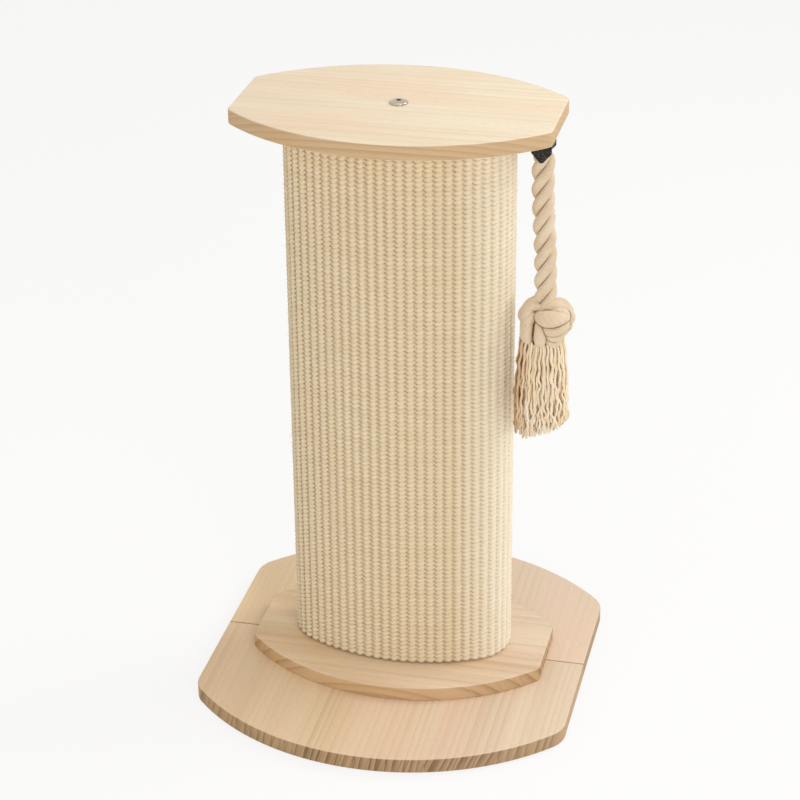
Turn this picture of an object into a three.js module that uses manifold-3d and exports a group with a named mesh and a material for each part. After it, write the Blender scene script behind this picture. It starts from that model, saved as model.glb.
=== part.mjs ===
// A free-standing cat scratching post: two base boards, a riser board, an oval column wrapped in
// woven sisal, a top board, and a knotted rope that swings from a clevis under a front corner.
// Millimetres, +Z up. The origin is on the floor under the middle of the base; +X is to the right
// along the seam between the base boards, and the post is seen from -Y.

import * as THREE from "three";
import { mergeVertices } from "three/addons/utils/BufferGeometryUtils.js";
import Module from "manifold-3d";

const wasm = await Module();
wasm.setup();

// ---------------------------------------------------------------- driving dimensions

// Boards. Each outline has a front and a back arc, straight ends and rounded corners.
const BASE_WIDTH = 400;
const BASE_DEPTH = 440;
const BASE_ARC_RADIUS = 262;
const BASE_CORNER_RADIUS = 34;
const BASE_THICKNESS = 17;

const RISER_WIDTH = 318;
const RISER_DEPTH = 225;
const RISER_ARC_RADIUS = 216;
const RISER_CORNER_RADIUS = 9;
const RISER_THICKNESS = 16;

const TOP_WIDTH = 324;
const TOP_DEPTH = 231;
const TOP_ARC_RADIUS = 230;
const TOP_CORNER_RADIUS = 10;
const TOP_THICKNESS = 16;

const EDGE_ROUND = 1.6; // the eased edge of every board

// Column: an oval of four arcs, measured over its woven cover.
const COLUMN_WIDTH = 238;
const COLUMN_DEPTH = 132;
const COLUMN_END_RADIUS = 48;
const COLUMN_LENGTH = 595;
const COVER_THICKNESS = 4;
const CORE_WALL = 6;
const PLUG_THICKNESS = 36;

// Bolts, inserts and dowels.
const COLUMN_BOLT_DIAMETER = 8;
const COLUMN_BOLT_LENGTH = 40;
const COLUMN_BOLT_SPARE = 2; // hole left past a bolt's end
const COLUMN_BOLT_HEAD_DIAMETER = 18.5;
const COLUMN_BOLT_HEAD_HEIGHT = 3.4;
const COLUMN_BOLT_SOCKET = 5; // across the flats of its hexagon socket
const COLUMN_BOLT_SOCKET_DEPTH = 2.2;
const BASE_BOLT_DIAMETER = 6;
const BASE_BOLT_LENGTH = 26;
const BASE_BOLT_HEAD_DIAMETER = 14;
const BASE_BOLT_HEAD_HEIGHT = 3;
const BASE_BOLT_SOCKET = 4;
const BASE_BOLT_SOCKET_DEPTH = 1.8;
const BASE_BOLT_X = 110;
const BASE_BOLT_Y = 58;
const BASE_BOLT_SPARE = 0.8;
const BASE_RECESS_DEPTH = 4; // of the holes that hide the base bolts' heads
const RISER_RECESS_DEPTH = 5; // of the hole that hides the bottom bolt's head
const RECESS_MARGIN = 1.5; // between a hidden head and its recess, all round
const SHANK_CHAMFER = 0.8;
const BOLT_RIM_SHARE = 0.35; // of a bolt head's height that is its upright rim
const INSERT_WALL = 1.8;
const INSERT_FLANGE = 2; // how far its flange stands out
const INSERT_FLANGE_THICKNESS = 1.5;
const COLUMN_INSERT_LENGTH = 20;
const BASE_INSERT_LENGTH = 12;
const DOWEL_DIAMETER = 8;
const DOWEL_LENGTH = 24;
const DOWEL_CHAMFER = 0.7;
const COLUMN_DOWEL_X = 60;
const SEAM_DOWEL_INSET = 28;

// Felt pads under the base.
const PAD_DIAMETER = 26;
const PAD_THICKNESS = 2;
const PAD_INSET = 26; // from the end of the base to the pad's middle
const PAD_Y = 95;
const PAD_MIDDLE_Y = 190;

// Rope toy, from the hanger's screw down.
const HANGER_X = 151.5;
const HANGER_Y = -36;
const CLEVIS_WIDTH = 20;
const CLEVIS_STEEL = 1.5;
const CLEVIS_CHEEK_HEIGHT = 15.6; // from the clevis's top to the point of its cheeks
const CLEVIS_SHOULDER = 5.8; // straight stretch of a cheek's side above its point
const CLEVIS_POINT_WIDTH = 3;
const HANGER_SCREW_DIAMETER = 4;
const HANGER_SCREW_LENGTH = 12;
const HANGER_SCREW_HEAD_DIAMETER = 8;
const HANGER_SCREW_HEAD_HEIGHT = 1.8;
const HANGER_SCREW_HEAD_FLAT = 5.6; // across the flat top of its head
const HANGER_WASHER_DIAMETER = 10;
const HANGER_WASHER_THICKNESS = 0.8;
const PIN_DIAMETER = 3;
const PIN_HEAD_DIAMETER = 6;
const PIN_HEAD_HEIGHT = 1.3;
const PIN_DROP = 10.6; // from the clevis's top to the pin's axis
const ROPE_DIAMETER = 23;
const ROPE_CROWN = 4.6; // the rope's end above the pin
const ROPE_CROWN_WIDTH = 6;
const ROPE_CHEEK_WIDTH = 16.5; // of the rope's rounded end, level with the pin
const ROPE_SHOULDER = 5; // from the pin down to the rope's full width
const ROPE_LENGTH = 157; // from the rope's end to the knot
const ROPE_LEAN = 4.5; // how far the knot hangs outward of the pin
const KNOT_DIAMETER = 60;
const KNOT_HEIGHT = 56;
const KNOT_FULLNESS = 0.6; // the lower, the squarer its sides
const KNOT_STEPS = 8;
const TASSEL_LENGTH = 98;
const TASSEL_TOP_DIAMETER = 40;
const TASSEL_END_DIAMETER = 54;
const TASSEL_END_ROUND = 4;
const TASSEL_SPREAD_LENGTH = 40; // from the knot down to its full width
const TASSEL_EARLY_SPREAD = 0.7; // share of its spread that it has halfway down that length

// Clearances.
const FIT = 0.3; // between a turned or cut piece and its neighbour
const PIN_FIT = 0.1; // running clearance on the hanger's pin and screw
const CUT_PAST = 2; // how far a cutting tool reaches out of the face that it enters

// Smoothness.
const ARC_STEPS = 9;
const CORNER_STEPS = 4;
const END_STEPS = 9;
const ROUND_SIDES = 16;
const EDGE_STEPS = 1;
const DOME_STEPS = 4;
const ROPE_SIDES = 12;
const SAME_POINT = 0.01; // outline points nearer than this are one
const MERGE_DISTANCE = 1e-4;

// ---------------------------------------------------------------- levels

const BASE_BOTTOM = PAD_THICKNESS;
const BASE_TOP = BASE_BOTTOM + BASE_THICKNESS;
const RISER_TOP = BASE_TOP + RISER_THICKNESS;
const COLUMN_TOP = RISER_TOP + COLUMN_LENGTH;
const POST_TOP = COLUMN_TOP + TOP_THICKNESS;
const CLEVIS_TOP = COLUMN_TOP - HANGER_WASHER_THICKNESS - FIT;
const PIN_Z = CLEVIS_TOP - PIN_DROP;
const SEAM_DOWEL_X = BASE_WIDTH / 2 - SEAM_DOWEL_INSET;
const SEAM_DOWEL_Z = BASE_BOTTOM + BASE_THICKNESS / 2;
const ROPE_TOP = PIN_Z + ROPE_CROWN;
const KNOT_TOP = ROPE_TOP - ROPE_LENGTH - FIT;
const KNOT_X = HANGER_X + ROPE_LEAN;
const TASSEL_TOP = KNOT_TOP - KNOT_HEIGHT - FIT;
const CLEVIS_GAP = ROPE_DIAMETER + 2 * FIT; // between the clevis's cheeks

// ---------------------------------------------------------------- finishes

const finish = (color, roughness, metalness = 0) =>
  new THREE.MeshStandardMaterial({ color, roughness, metalness });
const pine = () => finish(0xe3c795, 0.6);
const sisal = () => finish(0xdcc898, 0.95);
const paperboard = () => finish(0xb79a72, 0.9);
const plugWood = () => finish(0xd2b283, 0.75);
const dowelWood = () => finish(0xd9bd8c, 0.7);
const bolt = () => finish(0xc4c6c8, 0.3, 1);
const zinc = () => finish(0xb9bcc0, 0.45, 1);
const blackSteel = () => finish(0x1b1918, 0.35, 0.8);
const cotton = () => finish(0xe4d2b4, 0.95);
const felt = () => finish(0x8f8a83, 1);

// ---------------------------------------------------------------- geometry helpers

const root = new THREE.Group();

function add(name, geometry, material, x = 0, y = 0, z = 0) {
  const mesh = new THREE.Mesh(geometry, material);
  mesh.name = name;
  mesh.position.set(x, y, z);
  root.add(mesh);
  return mesh;
}

// A geometry as a solid that can be joined and cut.
function solid(geometry, x = 0, y = 0, z = 0) {
  const bare = geometry.clone().translate(x, y, z);
  bare.deleteAttribute("normal");
  bare.deleteAttribute("uv");
  const merged = mergeVertices(bare, MERGE_DISTANCE);
  const mesh = new wasm.Mesh({
    numProp: 3,
    vertProperties: new Float32Array(merged.attributes.position.array),
    triVerts: new Uint32Array(merged.index.array),
  });
  return new wasm.Manifold(mesh);
}

function geometryOf(manifold) {
  const mesh = manifold.getMesh();
  const geometry = new THREE.BufferGeometry();
  geometry.setAttribute("position", new THREE.BufferAttribute(mesh.vertProperties, 3));
  geometry.setIndex(new THREE.BufferAttribute(mesh.triVerts, 1));
  geometry.computeVertexNormals();
  return geometry;
}

// Points of an outline of arcs: front and back arcs, straight ends and rounded corners.
// inset draws the same outline that much further in.
function outlinePoints(width, depth, arcRadius, cornerRadius, inset = 0, cornerSteps = CORNER_STEPS) {
  const halfWidth = width / 2;
  const halfDepth = depth / 2;
  const arcCentre = arcRadius - halfDepth;
  const sweep = Math.asin((halfWidth - cornerRadius) / (arcRadius - cornerRadius));
  const cornerX = halfWidth - cornerRadius;
  const cornerY = arcCentre - (arcRadius - cornerRadius) * Math.cos(sweep);
  const quarter = [];
  for (let i = 0; i < ARC_STEPS; i++) {
    const angle = (sweep * i) / ARC_STEPS;
    const radius = arcRadius - inset;
    quarter.push([radius * Math.sin(angle), arcCentre - radius * Math.cos(angle)]);
  }
  for (let i = 0; i <= cornerSteps; i++) {
    const angle = sweep + ((Math.PI / 2 - sweep) * i) / cornerSteps;
    const radius = cornerRadius - inset;
    quarter.push([cornerX + radius * Math.sin(angle), cornerY - radius * Math.cos(angle)]);
  }
  const flipped = [...quarter].reverse();
  const points = [
    ...quarter,
    ...flipped.map(([x, y]) => [x, -y]),
    ...quarter.slice(1).map(([x, y]) => [-x, -y]),
    ...flipped.map(([x, y]) => [-x, y]).slice(0, -1),
  ];
  const vectors = points.map(([x, y]) => new THREE.Vector2(x, y));
  return vectors.filter((point, i) => point.distanceTo(vectors[(i + 1) % vectors.length]) > SAME_POINT);
}

// The radius of the front and back arcs of an oval whose end arcs run into them smoothly.
function ovalArcRadius(width, depth, endRadius) {
  const halfDepth = depth / 2;
  const endCentre = width / 2 - endRadius;
  return (halfDepth ** 2 + endCentre ** 2 - endRadius ** 2) / (2 * (halfDepth - endRadius));
}

const baseOutline = () => outlinePoints(BASE_WIDTH, BASE_DEPTH, BASE_ARC_RADIUS, BASE_CORNER_RADIUS);
const riserOutline = () => outlinePoints(RISER_WIDTH, RISER_DEPTH, RISER_ARC_RADIUS, RISER_CORNER_RADIUS);
const topOutline = () => outlinePoints(TOP_WIDTH, TOP_DEPTH, TOP_ARC_RADIUS, TOP_CORNER_RADIUS);
const columnArcRadius = ovalArcRadius(COLUMN_WIDTH, COLUMN_DEPTH, COLUMN_END_RADIUS);
const columnOutline = (inset) =>
  outlinePoints(COLUMN_WIDTH, COLUMN_DEPTH, columnArcRadius, COLUMN_END_RADIUS, inset, END_STEPS);

// A board: its outline from z = 0 up to its thickness, with both edges eased.
function board(points, thickness) {
  return new THREE.ExtrudeGeometry(new THREE.Shape(points), {
    depth: thickness - 2 * EDGE_ROUND,
    bevelEnabled: true,
    bevelThickness: EDGE_ROUND,
    bevelSize: EDGE_ROUND,
    bevelOffset: -EDGE_ROUND,
    bevelSegments: EDGE_STEPS,
  }).translate(0, 0, EDGE_ROUND);
}

function plate(points, thickness) {
  return new THREE.ExtrudeGeometry(new THREE.Shape(points), { depth: thickness, bevelEnabled: false });
}

// A tube of the column's outline between two insets.
function columnTube(outerInset, innerInset, length) {
  const shape = new THREE.Shape(columnOutline(outerInset));
  shape.holes.push(new THREE.Path(columnOutline(innerInset)));
  return new THREE.ExtrudeGeometry(shape, { depth: length, bevelEnabled: false });
}

// A body turned about Z from [radius, z] pairs, first and last on the axis or closing on itself.
function turned(profile, sides = ROUND_SIDES) {
  const points = profile.map(([radius, z]) => new THREE.Vector2(radius, z));
  return new THREE.LatheGeometry(points, sides).rotateX(Math.PI / 2);
}

// A drill: a cylinder along Z from z = low to z = high.
function drill(diameter, x, y, low, high) {
  const geometry = new THREE.CylinderGeometry(diameter / 2, diameter / 2, high - low, ROUND_SIDES);
  return solid(geometry.rotateX(Math.PI / 2), x, y, (low + high) / 2);
}

function cut(geometry, drills) {
  return geometryOf(drills.reduce((body, tool) => body.subtract(tool), solid(geometry)));
}

// ---------------------------------------------------------------- fasteners

// A furniture bolt, head up: its flat seat is at z = 0, its shank below, its low dome above.
function furnitureBolt(diameter, length, headDiameter, headHeight, socket, socketDepth) {
  const rim = headHeight * BOLT_RIM_SHARE;
  const profile = [
    [0, -length],
    [diameter / 2 - SHANK_CHAMFER, -length],
    [diameter / 2, SHANK_CHAMFER - length],
    [diameter / 2, 0],
    [headDiameter / 2, 0],
    [headDiameter / 2, rim],
  ];
  for (let i = 1; i <= DOME_STEPS; i++) {
    const angle = ((Math.PI / 2) * i) / DOME_STEPS;
    profile.push([(headDiameter / 2) * Math.cos(angle), rim + (headHeight - rim) * Math.sin(angle)]);
  }
  profile[profile.length - 1][0] = 0;
  const hexagon = new THREE.CylinderGeometry(socket / Math.sqrt(3), socket / Math.sqrt(3), headHeight, 6);
  const socketFloor = headHeight - socketDepth;
  const socketCut = solid(hexagon.rotateX(Math.PI / 2), 0, 0, socketFloor + headHeight / 2);
  return geometryOf(solid(turned(profile)).subtract(socketCut));
}

// A threaded insert, mouth up at z = 0, with a flange that sits in the mouth of its hole.
function insert(boltDiameter, length) {
  const bore = boltDiameter / 2 + FIT;
  const outer = bore + INSERT_WALL;
  const flange = outer + INSERT_FLANGE;
  return turned([
    [bore, -length],
    [outer, -length],
    [outer, -INSERT_FLANGE_THICKNESS],
    [flange, -INSERT_FLANGE_THICKNESS],
    [flange, 0],
    [bore, 0],
    [bore, -length],
  ]);
}

// The hole for an insert whose mouth is at z = 0, going down (direction -1) or up (direction +1).
function insertHole(boltDiameter, length, depth, x, y, direction) {
  const outer = boltDiameter + 2 * (FIT + INSERT_WALL + FIT);
  const span = (size) => [-direction * CUT_PAST, direction * size].sort((a, b) => a - b);
  const flange = drill(outer + 2 * INSERT_FLANGE, x, y, ...span(INSERT_FLANGE_THICKNESS + FIT));
  const sleeve = drill(outer, x, y, ...span(length + FIT));
  return flange.add(sleeve).add(drill(boltDiameter + 2 * FIT, x, y, ...span(depth)));
}

const dowel = () =>
  turned([
    [0, -DOWEL_LENGTH / 2],
    [DOWEL_DIAMETER / 2 - DOWEL_CHAMFER, -DOWEL_LENGTH / 2],
    [DOWEL_DIAMETER / 2, DOWEL_CHAMFER - DOWEL_LENGTH / 2],
    [DOWEL_DIAMETER / 2, DOWEL_LENGTH / 2 - DOWEL_CHAMFER],
    [DOWEL_DIAMETER / 2 - DOWEL_CHAMFER, DOWEL_LENGTH / 2],
    [0, DOWEL_LENGTH / 2],
  ]);

// ---------------------------------------------------------------- boards

// Half of the base outline: side -1 keeps the front half, +1 the back half.
function baseBoard(side) {
  const halfPlane = new THREE.BoxGeometry(BASE_WIDTH, BASE_DEPTH, 2 * BASE_THICKNESS);
  const half = solid(halfPlane, 0, (side * BASE_DEPTH) / 2, 0);
  const y = side * BASE_BOLT_Y;
  const recess = BASE_BOLT_HEAD_DIAMETER + 2 * RECESS_MARGIN;
  let body = solid(board(baseOutline(), BASE_THICKNESS)).intersect(half);
  for (const x of [-BASE_BOLT_X, BASE_BOLT_X]) {
    body = body.subtract(drill(recess, x, y, -CUT_PAST, BASE_RECESS_DEPTH));
    body = body.subtract(drill(BASE_BOLT_DIAMETER + 2 * FIT, x, y, -CUT_PAST, BASE_THICKNESS + CUT_PAST));
  }
  for (const x of [-SEAM_DOWEL_X, SEAM_DOWEL_X]) {
    body = body.subtract(dowelHole().rotate([90, 0, 0]).translate([x, 0, BASE_THICKNESS / 2]));
  }
  return geometryOf(body);
}

// The holes for a dowel that is centred on z = 0, one in each of the pieces that it joins.
function dowelHole() {
  const depth = DOWEL_LENGTH / 2 + FIT;
  return drill(DOWEL_DIAMETER + 2 * FIT, 0, 0, -depth, depth);
}

const columnDowelHoles = (z) =>
  [-COLUMN_DOWEL_X, COLUMN_DOWEL_X].map((x) => dowelHole().translate([x, 0, z]));

function riserBoard() {
  const recess = COLUMN_BOLT_HEAD_DIAMETER + 2 * RECESS_MARGIN;
  const boltDepth = BASE_RECESS_DEPTH + BASE_BOLT_LENGTH - BASE_THICKNESS + BASE_BOLT_SPARE;
  const holes = [
    drill(recess, 0, 0, -CUT_PAST, RISER_RECESS_DEPTH),
    drill(COLUMN_BOLT_DIAMETER + 2 * FIT, 0, 0, -CUT_PAST, RISER_THICKNESS + CUT_PAST),
    ...columnDowelHoles(RISER_THICKNESS),
  ];
  for (const [x, y] of baseBoltPlaces()) {
    holes.push(insertHole(BASE_BOLT_DIAMETER, BASE_INSERT_LENGTH, boltDepth, x, y, 1));
  }
  return cut(board(riserOutline(), RISER_THICKNESS), holes);
}

function baseBoltPlaces() {
  const places = [];
  for (const y of [-BASE_BOLT_Y, BASE_BOLT_Y]) {
    for (const x of [-BASE_BOLT_X, BASE_BOLT_X]) places.push([x, y]);
  }
  return places;
}

function topBoard() {
  const screwDepth = HANGER_SCREW_LENGTH - (COLUMN_TOP - CLEVIS_TOP) - CLEVIS_STEEL;
  return cut(board(topOutline(), TOP_THICKNESS), [
    drill(COLUMN_BOLT_DIAMETER + 2 * FIT, 0, 0, -CUT_PAST, TOP_THICKNESS + CUT_PAST),
    drill(HANGER_SCREW_DIAMETER + 2 * FIT, HANGER_X, HANGER_Y, -CUT_PAST, screwDepth + FIT),
    ...columnDowelHoles(0),
  ]);
}

add("base_front_board", baseBoard(-1), pine(), 0, 0, BASE_BOTTOM);
add("base_back_board", baseBoard(1), pine(), 0, 0, BASE_BOTTOM);
add("riser_board", riserBoard(), pine(), 0, 0, BASE_TOP);
add("top_board", topBoard(), pine(), 0, 0, COLUMN_TOP);

// ---------------------------------------------------------------- column

const CORE_INSET = COVER_THICKNESS + FIT;
const PLUG_INSET = CORE_INSET + CORE_WALL + FIT;

// A plug with its mouth, the face that meets a board, at z = 0 and its body below.
function plug(boltDepth) {
  return cut(plate(columnOutline(PLUG_INSET), PLUG_THICKNESS).translate(0, 0, -PLUG_THICKNESS), [
    insertHole(COLUMN_BOLT_DIAMETER, COLUMN_INSERT_LENGTH, boltDepth, 0, 0, -1),
    ...columnDowelHoles(0),
  ]);
}

const TOP_BOLT_DEPTH = COLUMN_BOLT_LENGTH - TOP_THICKNESS + COLUMN_BOLT_SPARE;
const BOTTOM_BOLT_DEPTH = COLUMN_BOLT_LENGTH - RISER_THICKNESS + RISER_RECESS_DEPTH + COLUMN_BOLT_SPARE;

const core = columnTube(CORE_INSET, CORE_INSET + CORE_WALL, COLUMN_LENGTH);
const cover = columnTube(0, COVER_THICKNESS, COLUMN_LENGTH - 2 * FIT);
add("column_core", core, paperboard(), 0, 0, RISER_TOP);
add("sisal_cover", cover, sisal(), 0, 0, RISER_TOP + FIT);
add("column_top_plug", plug(TOP_BOLT_DEPTH), plugWood(), 0, 0, COLUMN_TOP);
add("column_bottom_plug", plug(BOTTOM_BOLT_DEPTH), plugWood(), 0, 0, RISER_TOP).rotation.x = Math.PI;

// ---------------------------------------------------------------- bolts, inserts, dowels and pads

const columnBolt = () =>
  furnitureBolt(
    COLUMN_BOLT_DIAMETER,
    COLUMN_BOLT_LENGTH,
    COLUMN_BOLT_HEAD_DIAMETER,
    COLUMN_BOLT_HEAD_HEIGHT,
    COLUMN_BOLT_SOCKET,
    COLUMN_BOLT_SOCKET_DEPTH,
  );
const baseBolt = () =>
  furnitureBolt(
    BASE_BOLT_DIAMETER,
    BASE_BOLT_LENGTH,
    BASE_BOLT_HEAD_DIAMETER,
    BASE_BOLT_HEAD_HEIGHT,
    BASE_BOLT_SOCKET,
    BASE_BOLT_SOCKET_DEPTH,
  );

add("top_bolt", columnBolt(), bolt(), 0, 0, POST_TOP);
add("bottom_bolt", columnBolt(), bolt(), 0, 0, BASE_TOP + RISER_RECESS_DEPTH).rotation.x = Math.PI;
const columnInsert = () => insert(COLUMN_BOLT_DIAMETER, COLUMN_INSERT_LENGTH);
add("top_insert", columnInsert(), zinc(), 0, 0, COLUMN_TOP);
add("bottom_insert", columnInsert(), zinc(), 0, 0, RISER_TOP).rotation.x = Math.PI;

for (const [x, y] of baseBoltPlaces()) {
  const place = `${y < 0 ? "front" : "back"}_${x < 0 ? "left" : "right"}`;
  const boltMesh = add(`base_bolt_${place}`, baseBolt(), zinc(), x, y, BASE_BOTTOM + BASE_RECESS_DEPTH);
  const insertMesh = add(
    `base_insert_${place}`,
    insert(BASE_BOLT_DIAMETER, BASE_INSERT_LENGTH),
    zinc(),
    x,
    y,
    BASE_TOP,
  );
  boltMesh.rotation.x = Math.PI;
  insertMesh.rotation.x = Math.PI;
}

for (const side of [-1, 1]) {
  const hand = side < 0 ? "left" : "right";
  add(`top_dowel_${hand}`, dowel(), dowelWood(), side * COLUMN_DOWEL_X, 0, COLUMN_TOP);
  add(`bottom_dowel_${hand}`, dowel(), dowelWood(), side * COLUMN_DOWEL_X, 0, RISER_TOP);
  const seamDowel = add(`seam_dowel_${hand}`, dowel(), dowelWood(), side * SEAM_DOWEL_X, 0, SEAM_DOWEL_Z);
  seamDowel.rotation.x = Math.PI / 2;
}

const pad = () => new THREE.CylinderGeometry(PAD_DIAMETER / 2, PAD_DIAMETER / 2, PAD_THICKNESS, ROUND_SIDES);
for (const [end, side] of [["front", -1], ["back", 1]]) {
  const places = [
    ["left", PAD_INSET - BASE_WIDTH / 2, side * PAD_Y],
    ["middle", 0, side * PAD_MIDDLE_Y],
    ["right", BASE_WIDTH / 2 - PAD_INSET, side * PAD_Y],
  ];
  for (const [hand, x, y] of places) {
    add(`foot_pad_${end}_${hand}`, pad().rotateX(Math.PI / 2), felt(), x, y, PAD_THICKNESS / 2);
  }
}

// ---------------------------------------------------------------- rope toy

// A strip bent to a plate and two pointed cheeks; z = 0 is the top of the plate.
function clevis() {
  const half = CLEVIS_WIDTH / 2;
  const cheek = new THREE.Shape([
    new THREE.Vector2(-half, 0),
    new THREE.Vector2(-half, -CLEVIS_SHOULDER),
    new THREE.Vector2(-CLEVIS_POINT_WIDTH / 2, -CLEVIS_CHEEK_HEIGHT),
    new THREE.Vector2(CLEVIS_POINT_WIDTH / 2, -CLEVIS_CHEEK_HEIGHT),
    new THREE.Vector2(half, -CLEVIS_SHOULDER),
    new THREE.Vector2(half, 0),
  ]);
  const depth = CLEVIS_GAP + 2 * CLEVIS_STEEL;
  const block = new THREE.ExtrudeGeometry(cheek, { depth, bevelEnabled: false });
  const gap = new THREE.BoxGeometry(2 * CLEVIS_WIDTH, CLEVIS_GAP, 2 * CLEVIS_CHEEK_HEIGHT);
  const pinHole = drill(PIN_DIAMETER + 2 * PIN_FIT, 0, 0, -depth, depth);
  return cut(block.rotateX(Math.PI / 2).translate(0, depth / 2, 0), [
    solid(gap, 0, 0, -CLEVIS_STEEL - CLEVIS_CHEEK_HEIGHT),
    drill(HANGER_SCREW_DIAMETER + 2 * PIN_FIT, 0, 0, -2 * CLEVIS_STEEL, CLEVIS_STEEL),
    pinHole.rotate([90, 0, 0]).translate([0, 0, -PIN_DROP]),
  ]);
}

// A pin along Z with a domed head at each end.
function headedPin() {
  const seat = CLEVIS_GAP / 2 + CLEVIS_STEEL + PIN_FIT;
  const dome = [];
  for (let i = 0; i <= DOME_STEPS; i++) {
    const angle = ((Math.PI / 2) * i) / DOME_STEPS;
    dome.push([(PIN_HEAD_DIAMETER / 2) * Math.cos(angle), seat + PIN_HEAD_HEIGHT * Math.sin(angle)]);
  }
  dome[DOME_STEPS][0] = 0;
  const upper = [[PIN_DIAMETER / 2, seat], ...dome];
  const lower = upper.map(([radius, z]) => [radius, -z]).reverse();
  return turned([...lower, ...upper]);
}

// A pan-head screw, head down: its seat is at z = 0 and its shank above.
function hangerScrew() {
  const tip = HANGER_SCREW_DIAMETER / 2;
  return turned([
    [0, -HANGER_SCREW_HEAD_HEIGHT],
    [HANGER_SCREW_HEAD_FLAT / 2, -HANGER_SCREW_HEAD_HEIGHT],
    [HANGER_SCREW_HEAD_DIAMETER / 2, -HANGER_SCREW_HEAD_HEIGHT / 2],
    [HANGER_SCREW_HEAD_DIAMETER / 2, 0],
    [HANGER_SCREW_DIAMETER / 2, 0],
    [HANGER_SCREW_DIAMETER / 2, HANGER_SCREW_LENGTH - tip],
    [0, HANGER_SCREW_LENGTH],
  ]);
}

function washer() {
  const bore = HANGER_SCREW_DIAMETER / 2 + FIT;
  return turned([
    [bore, -HANGER_WASHER_THICKNESS],
    [HANGER_WASHER_DIAMETER / 2, -HANGER_WASHER_THICKNESS],
    [HANGER_WASHER_DIAMETER / 2, 0],
    [bore, 0],
    [bore, -HANGER_WASHER_THICKNESS],
  ]);
}

// The rope about its pin: a rounded end on the pin, then a round rope down to the knot.
function rope() {
  const radius = ROPE_DIAMETER / 2;
  const end = turned(
    [
      [0, -ROPE_SHOULDER - radius],
      [radius, -ROPE_SHOULDER - radius],
      [radius, -ROPE_SHOULDER],
      [ROPE_CHEEK_WIDTH / 2, 0],
      [ROPE_CROWN_WIDTH / 2, ROPE_CROWN],
      [0, ROPE_CROWN],
    ],
    ROPE_SIDES,
  );
  const fall = ROPE_LENGTH - ROPE_CROWN;
  const route = new THREE.CubicBezierCurve3(
    new THREE.Vector3(0, 0, -ROPE_SHOULDER - radius / 2),
    new THREE.Vector3(0, 0, -fall / 2),
    new THREE.Vector3(ROPE_LEAN, 0, -fall / 2),
    new THREE.Vector3(ROPE_LEAN, 0, -fall),
  );
  const section = [];
  for (let i = 0; i < ROPE_SIDES; i++) {
    const angle = (2 * Math.PI * i) / ROPE_SIDES;
    section.push(new THREE.Vector2(radius * Math.cos(angle), radius * Math.sin(angle)));
  }
  const steps = Math.ceil(fall / (2 * ROPE_DIAMETER));
  const tube = new THREE.ExtrudeGeometry(new THREE.Shape(section), { steps, extrudePath: route });
  const pinHole = drill(PIN_DIAMETER + 2 * PIN_FIT, 0, 0, -ROPE_DIAMETER, ROPE_DIAMETER);
  return geometryOf(solid(end).add(solid(tube)).subtract(pinHole.rotate([90, 0, 0])));
}

// The knot, from its flat top at z = 0 down: round, with flats where the rope and the tassel meet it.
function knot() {
  const top = ROPE_DIAMETER / 2;
  const bottom = TASSEL_TOP_DIAMETER / 2;
  const profile = [[0, -KNOT_HEIGHT]];
  for (let i = 0; i <= KNOT_STEPS; i++) {
    const share = i / KNOT_STEPS;
    const flat = bottom + (top - bottom) * share;
    const swell = (KNOT_DIAMETER / 2 - flat) * Math.pow(Math.sin(Math.PI * share), KNOT_FULLNESS);
    profile.push([flat + swell, -KNOT_HEIGHT * (1 - share)]);
  }
  profile.push([0, 0]);
  return turned(profile);
}

// The loose yarns below the knot, as one solid, from z = 0 down.
function tassel() {
  const top = TASSEL_TOP_DIAMETER / 2;
  const end = TASSEL_END_DIAMETER / 2;
  return turned([
    [0, -TASSEL_LENGTH],
    [end - TASSEL_END_ROUND, -TASSEL_LENGTH],
    [end, TASSEL_END_ROUND - TASSEL_LENGTH],
    [end, -TASSEL_SPREAD_LENGTH],
    [top + (end - top) * TASSEL_EARLY_SPREAD, -TASSEL_SPREAD_LENGTH / 2],
    [top, 0],
    [0, 0],
  ]);
}

add("hanger_washer", washer(), zinc(), HANGER_X, HANGER_Y, COLUMN_TOP);
add("hanger_screw", hangerScrew(), blackSteel(), HANGER_X, HANGER_Y, CLEVIS_TOP - CLEVIS_STEEL - FIT);
add("hanger_clevis", clevis(), blackSteel(), HANGER_X, HANGER_Y, CLEVIS_TOP);
add("hanger_pin", headedPin(), blackSteel(), HANGER_X, HANGER_Y, PIN_Z).rotation.x = Math.PI / 2;
add("rope", rope(), cotton(), HANGER_X, HANGER_Y, PIN_Z);
add("knot", knot(), cotton(), KNOT_X, HANGER_Y, KNOT_TOP);
add("tassel", tassel(), cotton(), KNOT_X, HANGER_Y, TASSEL_TOP);

export default root;
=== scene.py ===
import math
from contextlib import contextmanager

import bmesh
import bpy
import numpy as np
from mathutils import Matrix, Vector
from mathutils.bvhtree import BVHTree


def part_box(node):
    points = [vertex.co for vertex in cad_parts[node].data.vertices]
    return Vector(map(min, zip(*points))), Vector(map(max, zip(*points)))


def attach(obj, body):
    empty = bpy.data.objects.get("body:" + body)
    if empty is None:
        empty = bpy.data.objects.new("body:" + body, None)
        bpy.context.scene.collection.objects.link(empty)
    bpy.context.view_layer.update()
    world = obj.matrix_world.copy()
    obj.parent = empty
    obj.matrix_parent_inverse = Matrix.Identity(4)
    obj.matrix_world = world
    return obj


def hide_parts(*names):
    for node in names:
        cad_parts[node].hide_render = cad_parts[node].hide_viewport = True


# Looks of a free-standing cat scratching post: pine boards, a column wrapped in woven sisal and a
# knotted rope toy. Metres, +Z up. The origin is on the floor under the middle of the base, +X is to
# the right along the seam between the base boards, and the post is seen from -Y.

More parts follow.
